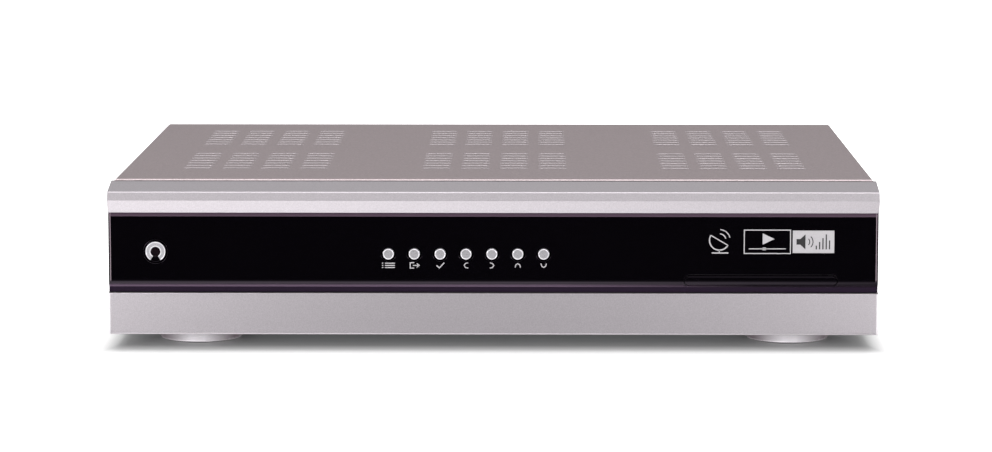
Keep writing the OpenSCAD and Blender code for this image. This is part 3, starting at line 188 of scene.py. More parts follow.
def polish(tree, shader, pattern, smooth, rough, start=0.3, end=0.7):
    """Runs the shader's roughness from smooth to rough, as the pattern runs from start to end."""
    tree.links.new(product(tree, (pattern, start, end, smooth, rough)), shader.inputs["Roughness"])


def relief(tree, shader, edge_mm, height=None, depth_mm=0.0):
    """Rounds the edges by edge_mm, and raises the surface by up to depth_mm where height is 1."""
    normal = add(tree, "ShaderNodeBevel", {"Radius": edge_mm * MM}, samples=4).outputs["Normal"]
    if height is not None:
        normal = add(tree, "ShaderNodeBump", {"Height": height, "Distance": depth_mm * MM,
                                              "Normal": normal}).outputs["Normal"]
    tree.links.new(normal, shader.inputs["Normal"])


def dress(node, material):
    """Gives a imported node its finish."""
    mesh = frame["nodes"][node].data
    mesh.materials.clear()
    mesh.materials.append(material)


def new_piece(name, mesh, body, material):
    """Adds a mesh as a piece that rides on a body, with the given finish."""
    mesh.materials.append(material)
    made = bpy.data.objects.new(name, mesh)
    bpy.context.scene.collection.objects.link(made)
    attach(made, body)
    return made


def middle(node):
    """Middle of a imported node's box at rest."""
    low, high = (Vector(corner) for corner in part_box(node))
    return (low + high) / 2


# ---- finishes ----

def sprayed_silver():
    """ABS sprayed with metallic silver lacquer: soft broad shine with fine flakes; painted shade in its
    joints and a painted highlight up the ends of its lower band.
    """
    colours = bpy.context.scene.receiver_colours
    material, tree, shader = start_material("sprayed_silver_ABS", Metallic=0.8, Roughness=0.4,
                                            Coat_Weight=0.25, Coat_Roughness=0.12)
    # the flakes are 0.05 mm across; drawn at 0.5 mm so that they show
    flakes = product(tree, (grain(tree, 0.5, detail=3.0, roughness=0.7), 0.3, 0.7))
    # painted shade: the bezel is painted darker in its joint with the cover, and in its joint under the
    # window
    place = along(tree, PLACE)
    painted_cover_joint_shade = product(tree, (place["Y"], COVER_FRONT - 1.7 * MM, COVER_FRONT - 1.3 * MM))
    painted_window_joint_shade = product(tree, (place["Z"], WINDOW_BOTTOM - 0.5 * MM, WINDOW_BOTTOM - 0.35 * MM),
                           (place["Z"], WINDOW_MIDDLE + 1 * MM, WINDOW_MIDDLE - 4 * MM))
    # painted highlight: a near-white line up each upright end of the lower band, on its front face
    painted_band_edge_highlight = product(tree, (aside(tree, PLACE), BEZEL_END - 0.7 * MM, BEZEL_END - 0.5 * MM),
                     (along(tree, FACING)["Y"], -0.5, -0.6),
                     (place["Z"], WINDOW_BOTTOM - 0.45 * MM, WINDOW_BOTTOM - 0.55 * MM))
    paint(tree, shader, colours.silver, (flakes, colours.silver_flakes), (painted_cover_joint_shade, colours.painted_joint_shade),
          (painted_window_joint_shade, colours.painted_joint_shade), (painted_band_edge_highlight, linear("f6f2f6")))
    relief(tree, shader, 0.45, grain(tree, 1.2), 0.004)
    return material


def foot_silver():
    """ABS foot, sprayed silver: painted shade turns it purple-grey round its sides, where it faces away from
    the front.
    """
    material, tree, shader = start_material("sprayed_silver_foot", Metallic=0.35, Roughness=0.5)
    # painted shade: darker purple-grey where the foot's side turns away from the front
    painted_side_shade = product(tree, (aside(tree, FACING), 0.15, 0.85))
    # the flakes are 0.05 mm across; drawn at 0.4 mm so that they show
    paint(tree, shader, linear("e6e1e6"), (grain(tree, 0.4), linear("f4f0f4")), (painted_side_shade, linear("62545c")))
    relief(tree, shader, 0.08)
    return material


def powder_coat():
    """Sheet steel, coated in metallic grey powder: fine even speckle, a soft line of light on each bend."""
    colours = bpy.context.scene.receiver_colours
    material, tree, shader = start_material("powder_coated_steel", Metallic=0.6, Roughness=0.36)
    # the powder's grains are 0.1 mm across; drawn at 0.8 mm so that they show
    speck = product(tree, (grain(tree, 0.8, detail=4.0, roughness=0.75), 0.35, 0.65))
    paint(tree, shader, colours.cover, (speck, colours.cover_specks))
    relief(tree, shader, 0.4, grain(tree, 0.6, detail=3.0), 0.01)
    return material


def black_acrylic():
    """Cast acrylic backed in purple-black: a mirror-like face, with bevels left frosted by the saw; painted
    light on its top bevel, its rounded lower edge and its ends, and painted shade at the foot of that edge.
    """
    colours = bpy.context.scene.receiver_colours
    material, tree, shader = start_material(
        "polished_black_acrylic", IOR=1.49, Specular_IOR_Level=0.3, Specular_Tint=linear("e0cbe4"))
    place = along(tree, PLACE)
    out = aside(tree, PLACE)
    sawn = product(tree, (along(tree, FACING)["Z"], 0.3, 0.5))
    # the top bevel is frosted; its paler purple-grey is painted light from overhead
    bevel = product(tree, sawn, (place["Z"], WINDOW_MIDDLE + 6 * MM, WINDOW_MIDDLE + 11 * MM))
    # painted reflection: the rounded lower edge is painted lighter, most on the left and fading to the
    # right; painted shade: the foot of that edge is painted darker
    painted_curve_reflection = product(tree, (place["Z"], WINDOW_BOTTOM + 3.85 * MM, WINDOW_BOTTOM + 2.55 * MM),
                    (place["X"], 30 * MM, 115 * MM, 1, 0.12))
    foot = product(tree, (place["Z"], WINDOW_BOTTOM + 2.45 * MM, WINDOW_BOTTOM + 2.15 * MM))
    # painted highlight: a narrow pale line up each end of the window
    painted_window_end_highlight = product(tree, (out, WINDOW_END - 1.15 * MM, WINDOW_END - 1.05 * MM),
                      (out, WINDOW_END - 0.65 * MM, WINDOW_END - 0.75 * MM),
                      (place["Z"], WINDOW_BOTTOM + 4.55 * MM, WINDOW_BOTTOM + 5.55 * MM))
    paint(tree, shader, colours.window, (grain(tree, 60.0), linear("050406")),
          (bevel, colours.window_bevel_painted_light), (painted_curve_reflection, linear("6a596b")), (foot, linear("241b28")),
          (painted_window_end_highlight, linear("7d7078")))
    polish(tree, shader, sawn, 0.04, 0.4, 0, 1)
    relief(tree, shader, 0.3)
    return material


def phono_plastic(centre, panel_rear):
    """Moulded PBT of the phono block: black inside, each insert outside in the colour of its signal."""
    material, tree, shader = start_material("phono_block_PBT", Roughness=0.4)
    place = along(tree, PLACE)
    soft = 0.1 * MM
    outside = (place["Y"], panel_rear, panel_rear + soft)
    second = (place["X"], centre.x - soft, centre.x + soft)
    upper = (place["Z"], centre.z - soft, centre.z + soft)
    paint(tree, shader, linear("121212"), (grain(tree, 3.0), linear("1b1b1b")),
          (product(tree, outside), linear("a32420")),
          (product(tree, outside, second), linear("d8d6cf")),
          (product(tree, outside, upper), linear("c8641c")),
          (product(tree, outside, upper, second), linear("d9b419")))
    relief(tree, shader, 0.15)
    return material


def cut_edge():
    """Pre-coated steel, cut: its rolled edge is bare and bright."""
    material, tree, shader = start_material("cut_steel_edge", Metallic=0.6, Roughness=0.4)
    paint(tree, shader, linear("a59da0"), (grain(tree, 1.5), linear("bab2b6")))
    return material


def moulded_black():
    """Glass-filled nylon, moulded in black: fine spark-eroded texture."""
    material, tree, shader = start_material("moulded_black_nylon", Roughness=0.5, IOR=1.53)
    texture = grain(tree, 0.4, detail=3.0)
    paint(tree, shader, linear("17171a"), (texture, linear("222226")))
    relief(tree, shader, 0.3, texture, 0.015)
    return material


def zinc_plate():
    """Cold-rolled steel, zinc plated: cool grey with faint cloudy spangle and rolling lines."""
    material, tree, shader = start_material("zinc_plated_steel", Metallic=1.0)
    cloud = grain(tree, 9.0, detail=3.0)
    paint(tree, shader, linear("b4b7ba"), (cloud, linear("cfd1d3")))
    polish(tree, shader, cloud, 0.30, 0.44)
    relief(tree, shader, 0.2, grain(tree, 0.5), 0.004)
    return material


def nickel_plate():
    """Brass, turned and nickel plated: bright, slightly warm metal."""
    material, tree, shader = start_material("nickel_plated_brass", Metallic=1.0)
    cloud = grain(tree, 3.0)
    paint(tree, shader, linear("d3cec4"), (cloud, linear("e2ded6")))
    polish(tree, shader, cloud, 0.16, 0.28)
    relief(tree, shader, 0.25)
    return material


def nickel_screw():
    """Steel screw, nickel plated: bright but worn soft by the driver."""
    material, tree, shader = start_material("nickel_plated_screw", Metallic=1.0)
    wear = grain(tree, 1.0)
    paint(tree, shader, linear("b9b8b5"), (wear, linear("d6d5d2")))
    polish(tree, shader, wear, 0.22, 0.4)
    relief(tree, shader, 0.2)
    return material


def tin_plate():
    """Tinplate, pressed into a can: pale grey with a soft shine."""
    material, tree, shader = start_material("tin_plated_steel", Metallic=1.0)
    cloud = grain(tree, 6.0, detail=3.0)
    paint(tree, shader, linear("c2c4c2"), (cloud, linear("d8d9d6")))
    polish(tree, shader, cloud, 0.25, 0.38)
    relief(tree, shader, 0.3)
    return material


def satin_cap_metal():
    """ABS cap, metallised: a satin silver face."""
    material, tree, shader = start_material("metallised_ABS", Metallic=0.4)
    fine = grain(tree, 0.3)
    paint(tree, shader, linear("9a989c"), (fine, linear("afadb1")))
    polish(tree, shader, fine, 0.25, 0.36)
    relief(tree, shader, 0.45)
    return material


def smoked_lens():
    """Polycarbonate light guide, smoked: dark red-brown with a polished face."""
    material, tree, shader = start_material("smoked_polycarbonate", Roughness=0.12, IOR=1.58)
    paint(tree, shader, linear("0c070a"), (grain(tree, 2.0), linear("160c11")))
    relief(tree, shader, 0.2)
    return material


def foot_rubber():
    """Nitrile rubber, moulded: matt black."""
    material, tree, shader = start_material("moulded_rubber", Roughness=0.85, IOR=1.5)
    texture = grain(tree, 0.8, detail=3.0)
    paint(tree, shader, linear("141414"), (texture, linear("1f1f1f")))
    relief(tree, shader, 0.5, texture, 0.03)
    return material


def green_board():
    """Glass epoxy board under green solder resist: glossy, with the weave and copper showing through."""
    material, tree, shader = start_material("green_solder_resist", Roughness=0.32, IOR=1.55)
    place = add(tree, "ShaderNodeTexCoord").outputs["Object"]
    tracks = add(tree, "ShaderNodeTexVoronoi", {"Vector": place, "Scale": per_mm(4.0)},
                 distance="MANHATTAN", feature="F1").outputs["Distance"]
    paint(tree, shader, linear("0d4a26"), (product(tree, (tracks, 0.2, 0.6)), linear("1c6b3a")))
    relief(tree, shader, 0.1, tracks, 0.03)
    return material


def brown_board():
    """Phenolic paper board, pressed: tan with a soft sheen."""
    material, tree, shader = start_material("phenolic_board", Roughness=0.5, IOR=1.55)
    fibre = grain(tree, 2.0, detail=4.0)
    paint(tree, shader, linear("7a5626"), (fibre, linear("9a7238")))
    relief(tree, shader, 0.1)
    return material


def display_face():
    """Display under a red filter: dark glossy face."""
    material, tree, shader = start_material("red_display_filter", Roughness=0.15, IOR=1.5)
    paint(tree, shader, linear("1d080b"), (grain(tree, 3.0), linear("2b0d11")))
    relief(tree, shader, 0.2)
    return material


def raw_aluminium():
    """Aluminium, extruded and left bare: bright with faint drawing lines."""
    material, tree, shader = start_material("extruded_aluminium", Metallic=1.0)
    lines = grain(tree, 1.5, detail=3.0)
    paint(tree, shader, linear("c8cacc"), (lines, linear("dfe0e1")))
    polish(tree, shader, lines, 0.28, 0.42)
    relief(tree, shader, 0.2)
    return material


def cream_nylon():
    """Natural nylon, moulded: warm white, slightly translucent."""
    material, tree, shader = start_material("natural_nylon", Roughness=0.45, IOR=1.53, Subsurface_Weight=0.1)
    paint(tree, shader, linear("d8cfb6"), (grain(tree, 2.0), linear("e6dfc9")))
    relief(tree, shader, 0.2)
    return material


def ribbon_pvc():
    """Flat cable of grey PVC: its cores lie 1.27 mm apart."""
    material, tree, shader = start_material("grey_PVC_ribbon", Roughness=0.45, IOR=1.53)
    cores = turns(tree, "X", 1.27)
    paint(tree, shader, linear("8c8c90"), (product(tree, (cores, -0.6, 0.6)), linear("b7b7ba")))
    relief(tree, shader, 0.1, cores, 0.15)
    return material


def lead_pvc():
    """Hook-up wires in red and black PVC, side by side: each pair is 3.2 mm wide."""
    material, tree, shader = start_material("PVC_hook_up_wire", Roughness=0.4, IOR=1.53)
    wires = turns(tree, "Y", 3.2)
    paint(tree, shader, linear("8e1712"), (product(tree, (wires, -0.6, 0.6)), linear("26201f")))
    relief(tree, shader, 0.1, wires, 0.15)
    return material


def ferrite():
    """Ferrite, pressed and sintered: dark grey, matt."""
    material, tree, shader = start_material("sintered_ferrite", Roughness=0.6, IOR=1.8)
    texture = grain(tree, 0.7, detail=3.0)
    paint(tree, shader, linear("242426"), (texture, linear("343436")))
    relief(tree, shader, 0.3, texture, 0.02)
    return material


def polyester_tape():
    """Polyester tape wound over the coil: glossy yellow with faint turns."""
    material, tree, shader = start_material("yellow_polyester_tape", Roughness=0.3, IOR=1.6)
    paint(tree, shader, linear("c9971c"), (grain(tree, 5.0), linear("ddb13a")))
    relief(tree, shader, 0.4)
    return material


def shrink_sleeve():
    """PVC sleeve shrunk on a capacitor: dark blue, glossy, with a bare top."""
    material, tree, shader = start_material("PVC_shrink_sleeve", Roughness=0.28, IOR=1.53)
    paint(tree, shader, linear("131c38"), (grain(tree, 6.0), linear("1c294c")))
    relief(tree, shader, 0.5)
    return material


def enamelled_copper():
    """Enamelled copper wire, wound: its turns catch the light one by one."""
    material, tree, shader = start_material("enamelled_copper", Metallic=0.9, Roughness=0.3)
    # the wire is 0.6 mm thick; drawn at 0.9 mm so that the turns show
    wound = turns(tree, "Y", 0.9)
    paint(tree, shader, linear("7a3712"), (product(tree, (wound, -1, 1)), linear("c46a30")))
    relief(tree, shader, 0.1, wound, 0.1)
    return material


def fuse_glass():
    """Glass fuse between plated caps: clear tube seen as pale grey-green, bright metal ends."""
    material, tree, shader = start_material("glass_fuse", Roughness=0.1, IOR=1.52)
    paint(tree, shader, linear("aab5b0"), (grain(tree, 3.0), linear("c6cfca")))
    relief(tree, shader, 0.3)
    return material


def polished_rim():
    """ABS, metallised and left polished on the raised rim: nearly white where it catches the light."""
    material, tree, shader = start_material("polished_rim", Metallic=0.3, Roughness=0.22)
    paint(tree, shader, linear("e0dde2"), (grain(tree, 0.5), linear("eceaee")))
    return material


def printing_ink(name, low, high):
    """Screen-printing ink: slightly raised, satin, a little uneven."""
    material, tree, shader = start_material(name, Roughness=0.5, IOR=1.5)
    paint(tree, shader, low, (grain(tree, 0.6), high))
    return material


def white_ink():
    """The ink of the marks and signs."""
    colours = bpy.context.scene.receiver_colours
    return printing_ink("white_printing_ink", colours.marks, linear("aaa7aa"))


def black_ink():
    """The ink of the sign that stands on a white plate."""
    return printing_ink("black_printing_ink", linear("0b090c"), linear("131014"))


def floor_paint():
    """Studio floor, painted matt white, with a painted glow that only the camera sees away from the
    receiver, so that its shade ends close round it.
    """
    material, tree, shader = start_material("matt_white_floor", Roughness=0.9, Emission_Color=(1, 1, 1, 1))
    # painted glow: the floor glows for the camera beside and in front of the receiver, and not under it
    beside = product(tree, (aside(tree, PLACE), HALF_WIDTH - 3 * MM, HALF_WIDTH + 12 * MM))
    before = product(tree, (aside(tree, PLACE, "Y"), HALF_DEPTH - 20 * MM, HALF_DEPTH + 30 * MM))
    painted_glow = add(tree, "ShaderNodeMath", {0: beside, 1: before}, operation="MAXIMUM").outputs[0]
    seen = add(tree, "ShaderNodeLightPath").outputs["Is Camera Ray"]
    # painted shade: the camera sees the floor greyer than the light that it throws back
    paint(tree, shader, linear("f4f4f4"), (grain(tree, 400.0), linear("f8f8f8")), (seen, linear("d2d2d2")))
    tree.links.new(product(tree, painted_glow, seen), shader.inputs["Emission Strength"])
    return material


FINISHES = {
    "silver_paint": sprayed_silver, "cover_steel": powder_coat, "black_acrylic": black_acrylic,
    "silver_caps": satin_cap_metal, "smoked_lens": smoked_lens, "zinc_steel": zinc_plate,
    "screw_steel": nickel_screw, "foot_rubber": foot_rubber, "board_green": green_board,
    "board_brown": brown_board, "black_plastic": moulded_black, "display_red": display_face,
    "heat_sink": raw_aluminium, "socket_cream": cream_nylon, "ribbon": ribbon_pvc,
    "lead_wires": lead_pvc, "can_tin": tin_plate, "nickel": nickel_plate, "ferrite": ferrite,
    "winding_tape": polyester_tape, "capacitor_sleeve": shrink_sleeve, "copper_wire": enamelled_copper,
    "fuse_glass": fuse_glass,
}
made_finishes = {}


def made_once(finish):
    """The material that a finish's function makes, made once."""
    if finish not in made_finishes:
        made_finishes[finish] = finish()
    return made_finishes[finish]


def slot_of(node):
    """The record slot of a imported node."""
    for part in frame["record"]["subparts"]:
        if part["node"] == node:
            return part["material_slot"]
    raise ValueError("no slot for " + node)


def dress_all(*nodes):
    """Gives each named node the finish of its record slot."""
    for node in nodes:
        dress(node, made_once(FINISHES[slot_of(node)]))


# ---- sizes and colours that a user would change ----

class ReceiverSizes(bpy.types.PropertyGroup):
    """Sizes of the printed marks, the rims and the cut edges of the slots."""
    mark_drop: bpy.props.FloatProperty(
        name="Mark drop", description="From a button's middle down to the middle of its mark",
        default=5.1 * MM, unit="LENGTH")
    mark_size: bpy.props.FloatProperty(
        name="Mark size", description="Height of the mark under a button", default=2.4 * MM, unit="LENGTH")
    line_width: bpy.props.FloatProperty(
        name="Line width", description="Width of a printed line", default=0.42 * MM, unit="LENGTH")
    ink_depth: bpy.props.FloatProperty(
        name="Ink depth", description="How far the ink stands on the window", default=0.03 * MM,
        unit="LENGTH")
    sign_pitch: bpy.props.FloatProperty(
        name="Sign pitch", description="From one sign over the card slot to the next", default=20.3 * MM,
        unit="LENGTH")
    sign_shift: bpy.props.FloatProperty(
        name="Sign shift", description="From the slot's middle to the middle sign, to the right",
        default=2.7 * MM, unit="LENGTH")
    sign_lift: bpy.props.FloatProperty(
        name="Sign lift", description="From the slot's middle up to the signs", default=17.4 * MM,
        unit="LENGTH")
    sign_size: bpy.props.FloatProperty(
        name="Sign size", description="Height of a sign over the card slot", default=10.4 * MM,
        unit="LENGTH")
    cap_radius: bpy.props.FloatProperty(
        name="Cap radius", description="Radius of the face of a cap in the row", default=2.4 * MM,
        unit="LENGTH")
    ring_radius: bpy.props.FloatProperty(
        name="Ring radius", description="Outer radius of the standby ring", default=4.4 * MM,
        unit="LENGTH")
    ring_hole: bpy.props.FloatProperty(
        name="Ring hole", description="Inner radius of the standby ring", default=2.2 * MM, unit="LENGTH")
    ring_opening: bpy.props.FloatProperty(
        name="Ring opening", description="Opening of the standby ring at its bottom",
        default=math.radians(64), subtype="ANGLE")
    rim_width: bpy.props.FloatProperty(
        name="Rim width", description="Width of the polished rim of a cap", default=0.5 * MM, unit="LENGTH")
    rim_sink: bpy.props.FloatProperty(
        name="Rim sink", description="How deep a rim is set into its face", default=0.05 * MM,
        unit="LENGTH")
    roll_radius: bpy.props.FloatProperty(
        name="Roll radius", description="Radius of the rolled edge of a slot", default=0.4 * MM,
        unit="LENGTH")
    slot_length: bpy.props.FloatProperty(
        name="Slot length", description="Length of a cooling slot", default=13.2 * MM, unit="LENGTH")
    slot_width: bpy.props.FloatProperty(
        name="Slot width", description="Width of a cooling slot", default=4 * MM, unit="LENGTH")
    slot_pitch: bpy.props.FloatProperty(
        name="Slot pitch", description="From one slot to the next behind it", default=10.3 * MM,
        unit="LENGTH")
    column_pitch: bpy.props.FloatProperty(
        name="Column pitch", description="From one column of slots to the next", default=17.7 * MM,
        unit="LENGTH")
    group_pitch: bpy.props.FloatProperty(
        name="Group pitch", description="From one group of slots to the next", default=109 * MM,
        unit="LENGTH")
    row_front: bpy.props.FloatProperty(
        name="Row front", description="From the cover's front edge to the middle of the first row",
        default=75.5 * MM, unit="LENGTH")
    row_pitch: bpy.props.FloatProperty(
        name="Row pitch", description="From the first row of slots to the second", default=104 * MM,
        unit="LENGTH")


class ReceiverColours(bpy.types.PropertyGroup):
    """Colours of the case and of the printed marks."""
    silver: bpy.props.FloatVectorProperty(
        name="Silver", description="Lacquer of the bezel", default=linear("b3adb2"),
        subtype="COLOR", size=4, min=0, max=1)
    silver_flakes: bpy.props.FloatVectorProperty(
        name="Silver flakes", description="Metal flakes in the bezel's lacquer", default=linear("c7c1c6"),
        subtype="COLOR", size=4, min=0, max=1)
    # painted shade in the bezel's joints, where the cover and the window meet it
    painted_joint_shade: bpy.props.FloatVectorProperty(
        name="Joint shade", description="Shade in the bezel's joints", default=linear("4f4a4d"),
        subtype="COLOR", size=4, min=0, max=1)
    cover: bpy.props.FloatVectorProperty(
        name="Cover", description="Powder coat of the cover", default=linear("a6999b"),
        subtype="COLOR", size=4, min=0, max=1)
    cover_specks: bpy.props.FloatVectorProperty(
        name="Cover specks", description="Light grains in the cover's coat", default=linear("c3b5b8"),
        subtype="COLOR", size=4, min=0, max=1)
    window: bpy.props.FloatVectorProperty(
        name="Window", description="Face of the window", default=linear("030204"),
        subtype="COLOR", size=4, min=0, max=1)
    # painted light: the frosted top bevel is coloured paler, as light from overhead
    window_bevel_painted_light: bpy.props.FloatVectorProperty(
        name="Window bevel", description="Sawn bevel along its top", default=linear("4d3e4a"),
        subtype="COLOR", size=4, min=0, max=1)
    marks: bpy.props.FloatVectorProperty(
        name="Marks", description="White ink of the marks", default=linear("9c999c"),
        subtype="COLOR", size=4, min=0, max=1)


class ReceiverStudio(bpy.types.PropertyGroup):
    """Camera and light of the studio."""
    lens: bpy.props.FloatProperty(
        name="Lens", description="Focal length on a sensor 36 mm wide", default=134.4, unit="CAMERA")
    camera_place: bpy.props.FloatVectorProperty(
        name="Camera place", description="Place of the camera", default=(0.0178, -1.7549, 0.2623),
        unit="LENGTH", size=3)
    camera_pitch: bpy.props.FloatProperty(
        name="Camera pitch", description="How far the camera looks down", default=math.radians(7.26),
        subtype="ANGLE")
    camera_turn: bpy.props.FloatProperty(
        name="Camera turn", description="How far the camera turns to the left", default=math.radians(0.583),
        subtype="ANGLE")
    top_light: bpy.props.FloatProperty(
        name="Top light", description="Power of the softbox overhead", default=11.3, min=0, unit="POWER")
    floor_light: bpy.props.FloatProperty(
        name="Floor light", description="Power of the softbox over the floor behind", default=20.0,
        min=0, unit="POWER")
    side_light: bpy.props.FloatProperty(
        name="Side light", description="Power of each side softbox", default=5.6, min=0, unit="POWER")


# ---- shapes ----

def mesh_of(shape, name, smooth=True):
    """Finishes a mesh with its faces turned outward."""
    bmesh.ops.recalc_face_normals(shape, faces=shape.faces)
    made = bpy.data.meshes.new(name)
    shape.to_mesh(made)
    shape.free()
    for face in made.polygons:
        face.use_smooth = smooth
    return made


def skin(shape, rings, closed=False):
    """Joins rings of equally many points, one to the next; the last one to the first, or both capped."""
    count = len(rings[0])
    pairs = list(zip(rings, rings[1:])) + ([(rings[-1], rings[0])] if closed else [])
    for ring, after in pairs:
        for i in range(count):
            j = (i + 1) % count
            shape.faces.new((ring[i], ring[j], after[j], after[i]))
    if not closed:
        shape.faces.new(rings[0])
        shape.faces.new(rings[-1][::-1])


def round_points(radius, start, end, steps, centre=(0, 0)):
    """Points along part of a circle between two angles, or round the whole of it, and whether it is
    whole."""
    whole = end - start >= 360
    count = steps if whole else steps + 1
    angles = [math.radians(start + (end - start) * i / steps) for i in range(count)]
    return [(centre[0] + radius * math.cos(a), centre[1] + radius * math.sin(a)) for a in angles], whole


def bead(shape, centre, radius, section, start, end):
    """Adds a half-round bead along part of a circle that faces front, or the whole of it."""
    outs, whole = round_points(1, start, end, 40)
    across, _ = round_points(section, 0, 180, 4)
    skin(shape, [[shape.verts.new(centre + Vector((x * (radius + reach), -rise, z * (radius + reach))))
                  for reach, rise in across] for x, z in outs], whole)


def roll(shape, path, top, radius):
    """Adds a rolled edge along a path of places and inward directions: a quarter round that faces inward
    and up."""
    arc, _ = round_points(radius, 0, 90, 4)
    section = [(reach, top - radius + rise) for reach, rise in arc] + [(0, top - radius)]
    skin(shape, [[shape.verts.new((x + inx * reach, y + iny * reach, z)) for reach, z in section]
                 for x, y, inx, iny in path])


def slot_rear(x, y, length, width):
    """The rear half of a slot's outline, with the inward direction at each place."""
    half = (length - width) / 2
    path = []
    for side, start in ((1, 15), (-1, 90)):
        arc, _ = round_points(1, start, start + 75, 3)
        path += [(x + side * half + across * width / 2, y + back * width / 2, -across, -back)
                 for across, back in arc]
    return path


def slot_middles(sizes):
    """The middle of every cooling slot of the cover."""
    for group in SLOT_GROUPS:
        for row in SLOT_ROWS:
            for column in range(ROW_COLUMNS):
                for i in range(COLUMN_SLOTS):
                    yield (group * sizes.group_pitch +
                           (column - (ROW_COLUMNS - 1) / 2) * sizes.column_pitch,
                           COVER_FRONT + sizes.row_front + row * sizes.row_pitch +
                           (i - (COLUMN_SLOTS - 1) / 2) * sizes.slot_pitch)


class Print:
    """Flat shapes on the window, drawn in x and z around a middle, and raised by the ink's depth."""

    def __init__(self, origin, depth):
        self.shape = bmesh.new()
        self.origin = origin
        self.depth = depth

    def points(self, outline, depths):
        """Adds a point for each place of an outline, at its depth over the window."""
        return [self.shape.verts.new(self.origin + Vector((x, -depth, z)))
                for (x, z), depth in zip(outline, depths)]

    def solid(self, outline):
        """Adds one filled outline."""
        count = len(outline)
        skin(self.shape, [self.points(outline, [self.depth] * count), self.points(outline, [0] * count)])

    def line(self, places, width, closed=False):
        """Adds a line of even width with mitred corners."""
        count = len(places)
        rings = []
        for i, place in enumerate(places):
            here = Vector(place)
            before = Vector(places[i - 1]) if i or closed else None
            after = Vector(places[(i + 1) % count]) if i < count - 1 or closed else None
            ins = (here - before).normalized() if before else (after - here).normalized()
            outs = (after - here).normalized() if after else ins
            mid = (ins + outs).normalized()
            side = Vector((-mid.y, mid.x)) * width / 2 / max(mid.dot(ins), 0.3)
            left, right = here + side, here - side
            rings.append(self.points((left, right, right, left), (self.depth, self.depth, 0, 0)))
        skin(self.shape, rings, closed)

    def arc(self, radius, start, end, width, centre=(0, 0), steps=16):
        """Adds a line along part of a circle, or the whole of it."""
        places, whole = round_points(radius, start, end, steps, centre)
        self.line(places, width, whole)


# ---- printed marks and signs ----

def menu_mark(ink, size, width):
    """A list: three dots, each with its bar."""
    for step in (-1, 0, 1):
        high = step * size * 0.4
        ink.line([(-size * 1.2, high), (-size * 0.95, high)], width)
        ink.line([(-size * 0.65, high), (size * 1.2, high)], width)


def exit_mark(ink, size, width):
    """An arrow that leaves an open frame."""
    half = size / 2
    ink.line([(0, half), (-1.5 * half, half), (-1.5 * half, -half), (0, -half)], width)
    ink.line([(-0.5 * half, 0), (1.6 * half, 0)], width)
    ink.line([(0.9 * half, 0.7 * half), (1.8 * half, 0), (0.9 * half, -0.7 * half)], width)


def ok_mark(ink, size, width):
    """A tick."""
    ink.line([(-size * 0.65, 0), (-size * 0.15, -size * 0.45), (size * 0.75, size * 0.5)], width * 1.2)


def chevron(turn):
    """A rounded arrowhead that points along turn, in degrees."""
    def draw(ink, size, width):
        a = math.radians(turn)
        points = []
        for along, across in ((-0.38, 0.5), (0.1, 0.38), (0.36, 0), (0.1, -0.38), (-0.38, -0.5)):
            points.append((size * (along * math.cos(a) - across * math.sin(a)),
                           size * (along * math.sin(a) + across * math.cos(a))))
        ink.line(points, width)
    return draw


ROW_MARKS = [menu_mark, exit_mark, ok_mark, chevron(180), chevron(0), chevron(90), chevron(270)]


def dish_sign(ink, size, width):
    """A dish on its stand, with two waves."""
    dish = (-size * 0.08, size * 0.06)
    ink.arc(size * 0.42, 150, 330, width * 1.3, dish, 18)
    ink.line([(dish[0] - size * 0.36, dish[1] + size * 0.21),
              (dish[0] + size * 0.36, dish[1] - size * 0.21)], width)
    ink.line([(dish[0], dish[1] - size * 0.42), (dish[0], -size * 0.46)], width)
    ink.line([(-size * 0.4, -size * 0.48), (size * 0.3, -size * 0.48)], width * 1.3)
    for reach in (0.28, 0.46):
        ink.arc(size * reach, 15, 85, width, dish, 8)


def screen_sign(ink, size, width):
    """A wide television screen in its frame, with a play triangle and a progress bar."""
    wide = size * 0.98
    ink.line([(-wide, -size * 0.5), (wide, -size * 0.5), (wide, size * 0.5), (-wide, size * 0.5)],
             width, True)
    ink.solid([(-size * 0.2, -size * 0.12), (size * 0.3, size * 0.12), (-size * 0.2, size * 0.36)])
    ink.line([(-wide * 0.8, -size * 0.3), (wide * 0.8, -size * 0.3)], width)
    ink.solid([(-wide * 0.2, -size * 0.36), (-wide * 0.06, -size * 0.36), (-wide * 0.06, -size * 0.24),
               (-wide * 0.2, -size * 0.24)])


def sound_plate(ink, size, width):
    """The bright plate under the sound sign."""
    wide = size * 0.88
    ink.solid([(-wide, -size * 0.48), (wide, -size * 0.48), (wide, size * 0.48), (-wide, size * 0.48)])


def sound_sign(ink, size, width):
    """A loudspeaker and its waves beside a row of level bars."""
    left = -size * 0.72
    ink.solid([(left, -size * 0.12), (left + size * 0.16, -size * 0.12), (left + size * 0.38, -size * 0.32),
               (left + size * 0.38, size * 0.32), (left + size * 0.16, size * 0.12), (left, size * 0.12)])
    for reach in (0.18, 0.32):
        ink.arc(size * reach, -45, 45, width, (left + size * 0.38, 0), 8)
    for i, high in enumerate((0.25, 0.5, 0.75, 1.0, 0.6)):
        x = size * (0.12 + 0.14 * i)
        ink.line([(x, -size * 0.32), (x, size * (-0.32 + 0.64 * high))], width * 1.3)


# ---- studio ----

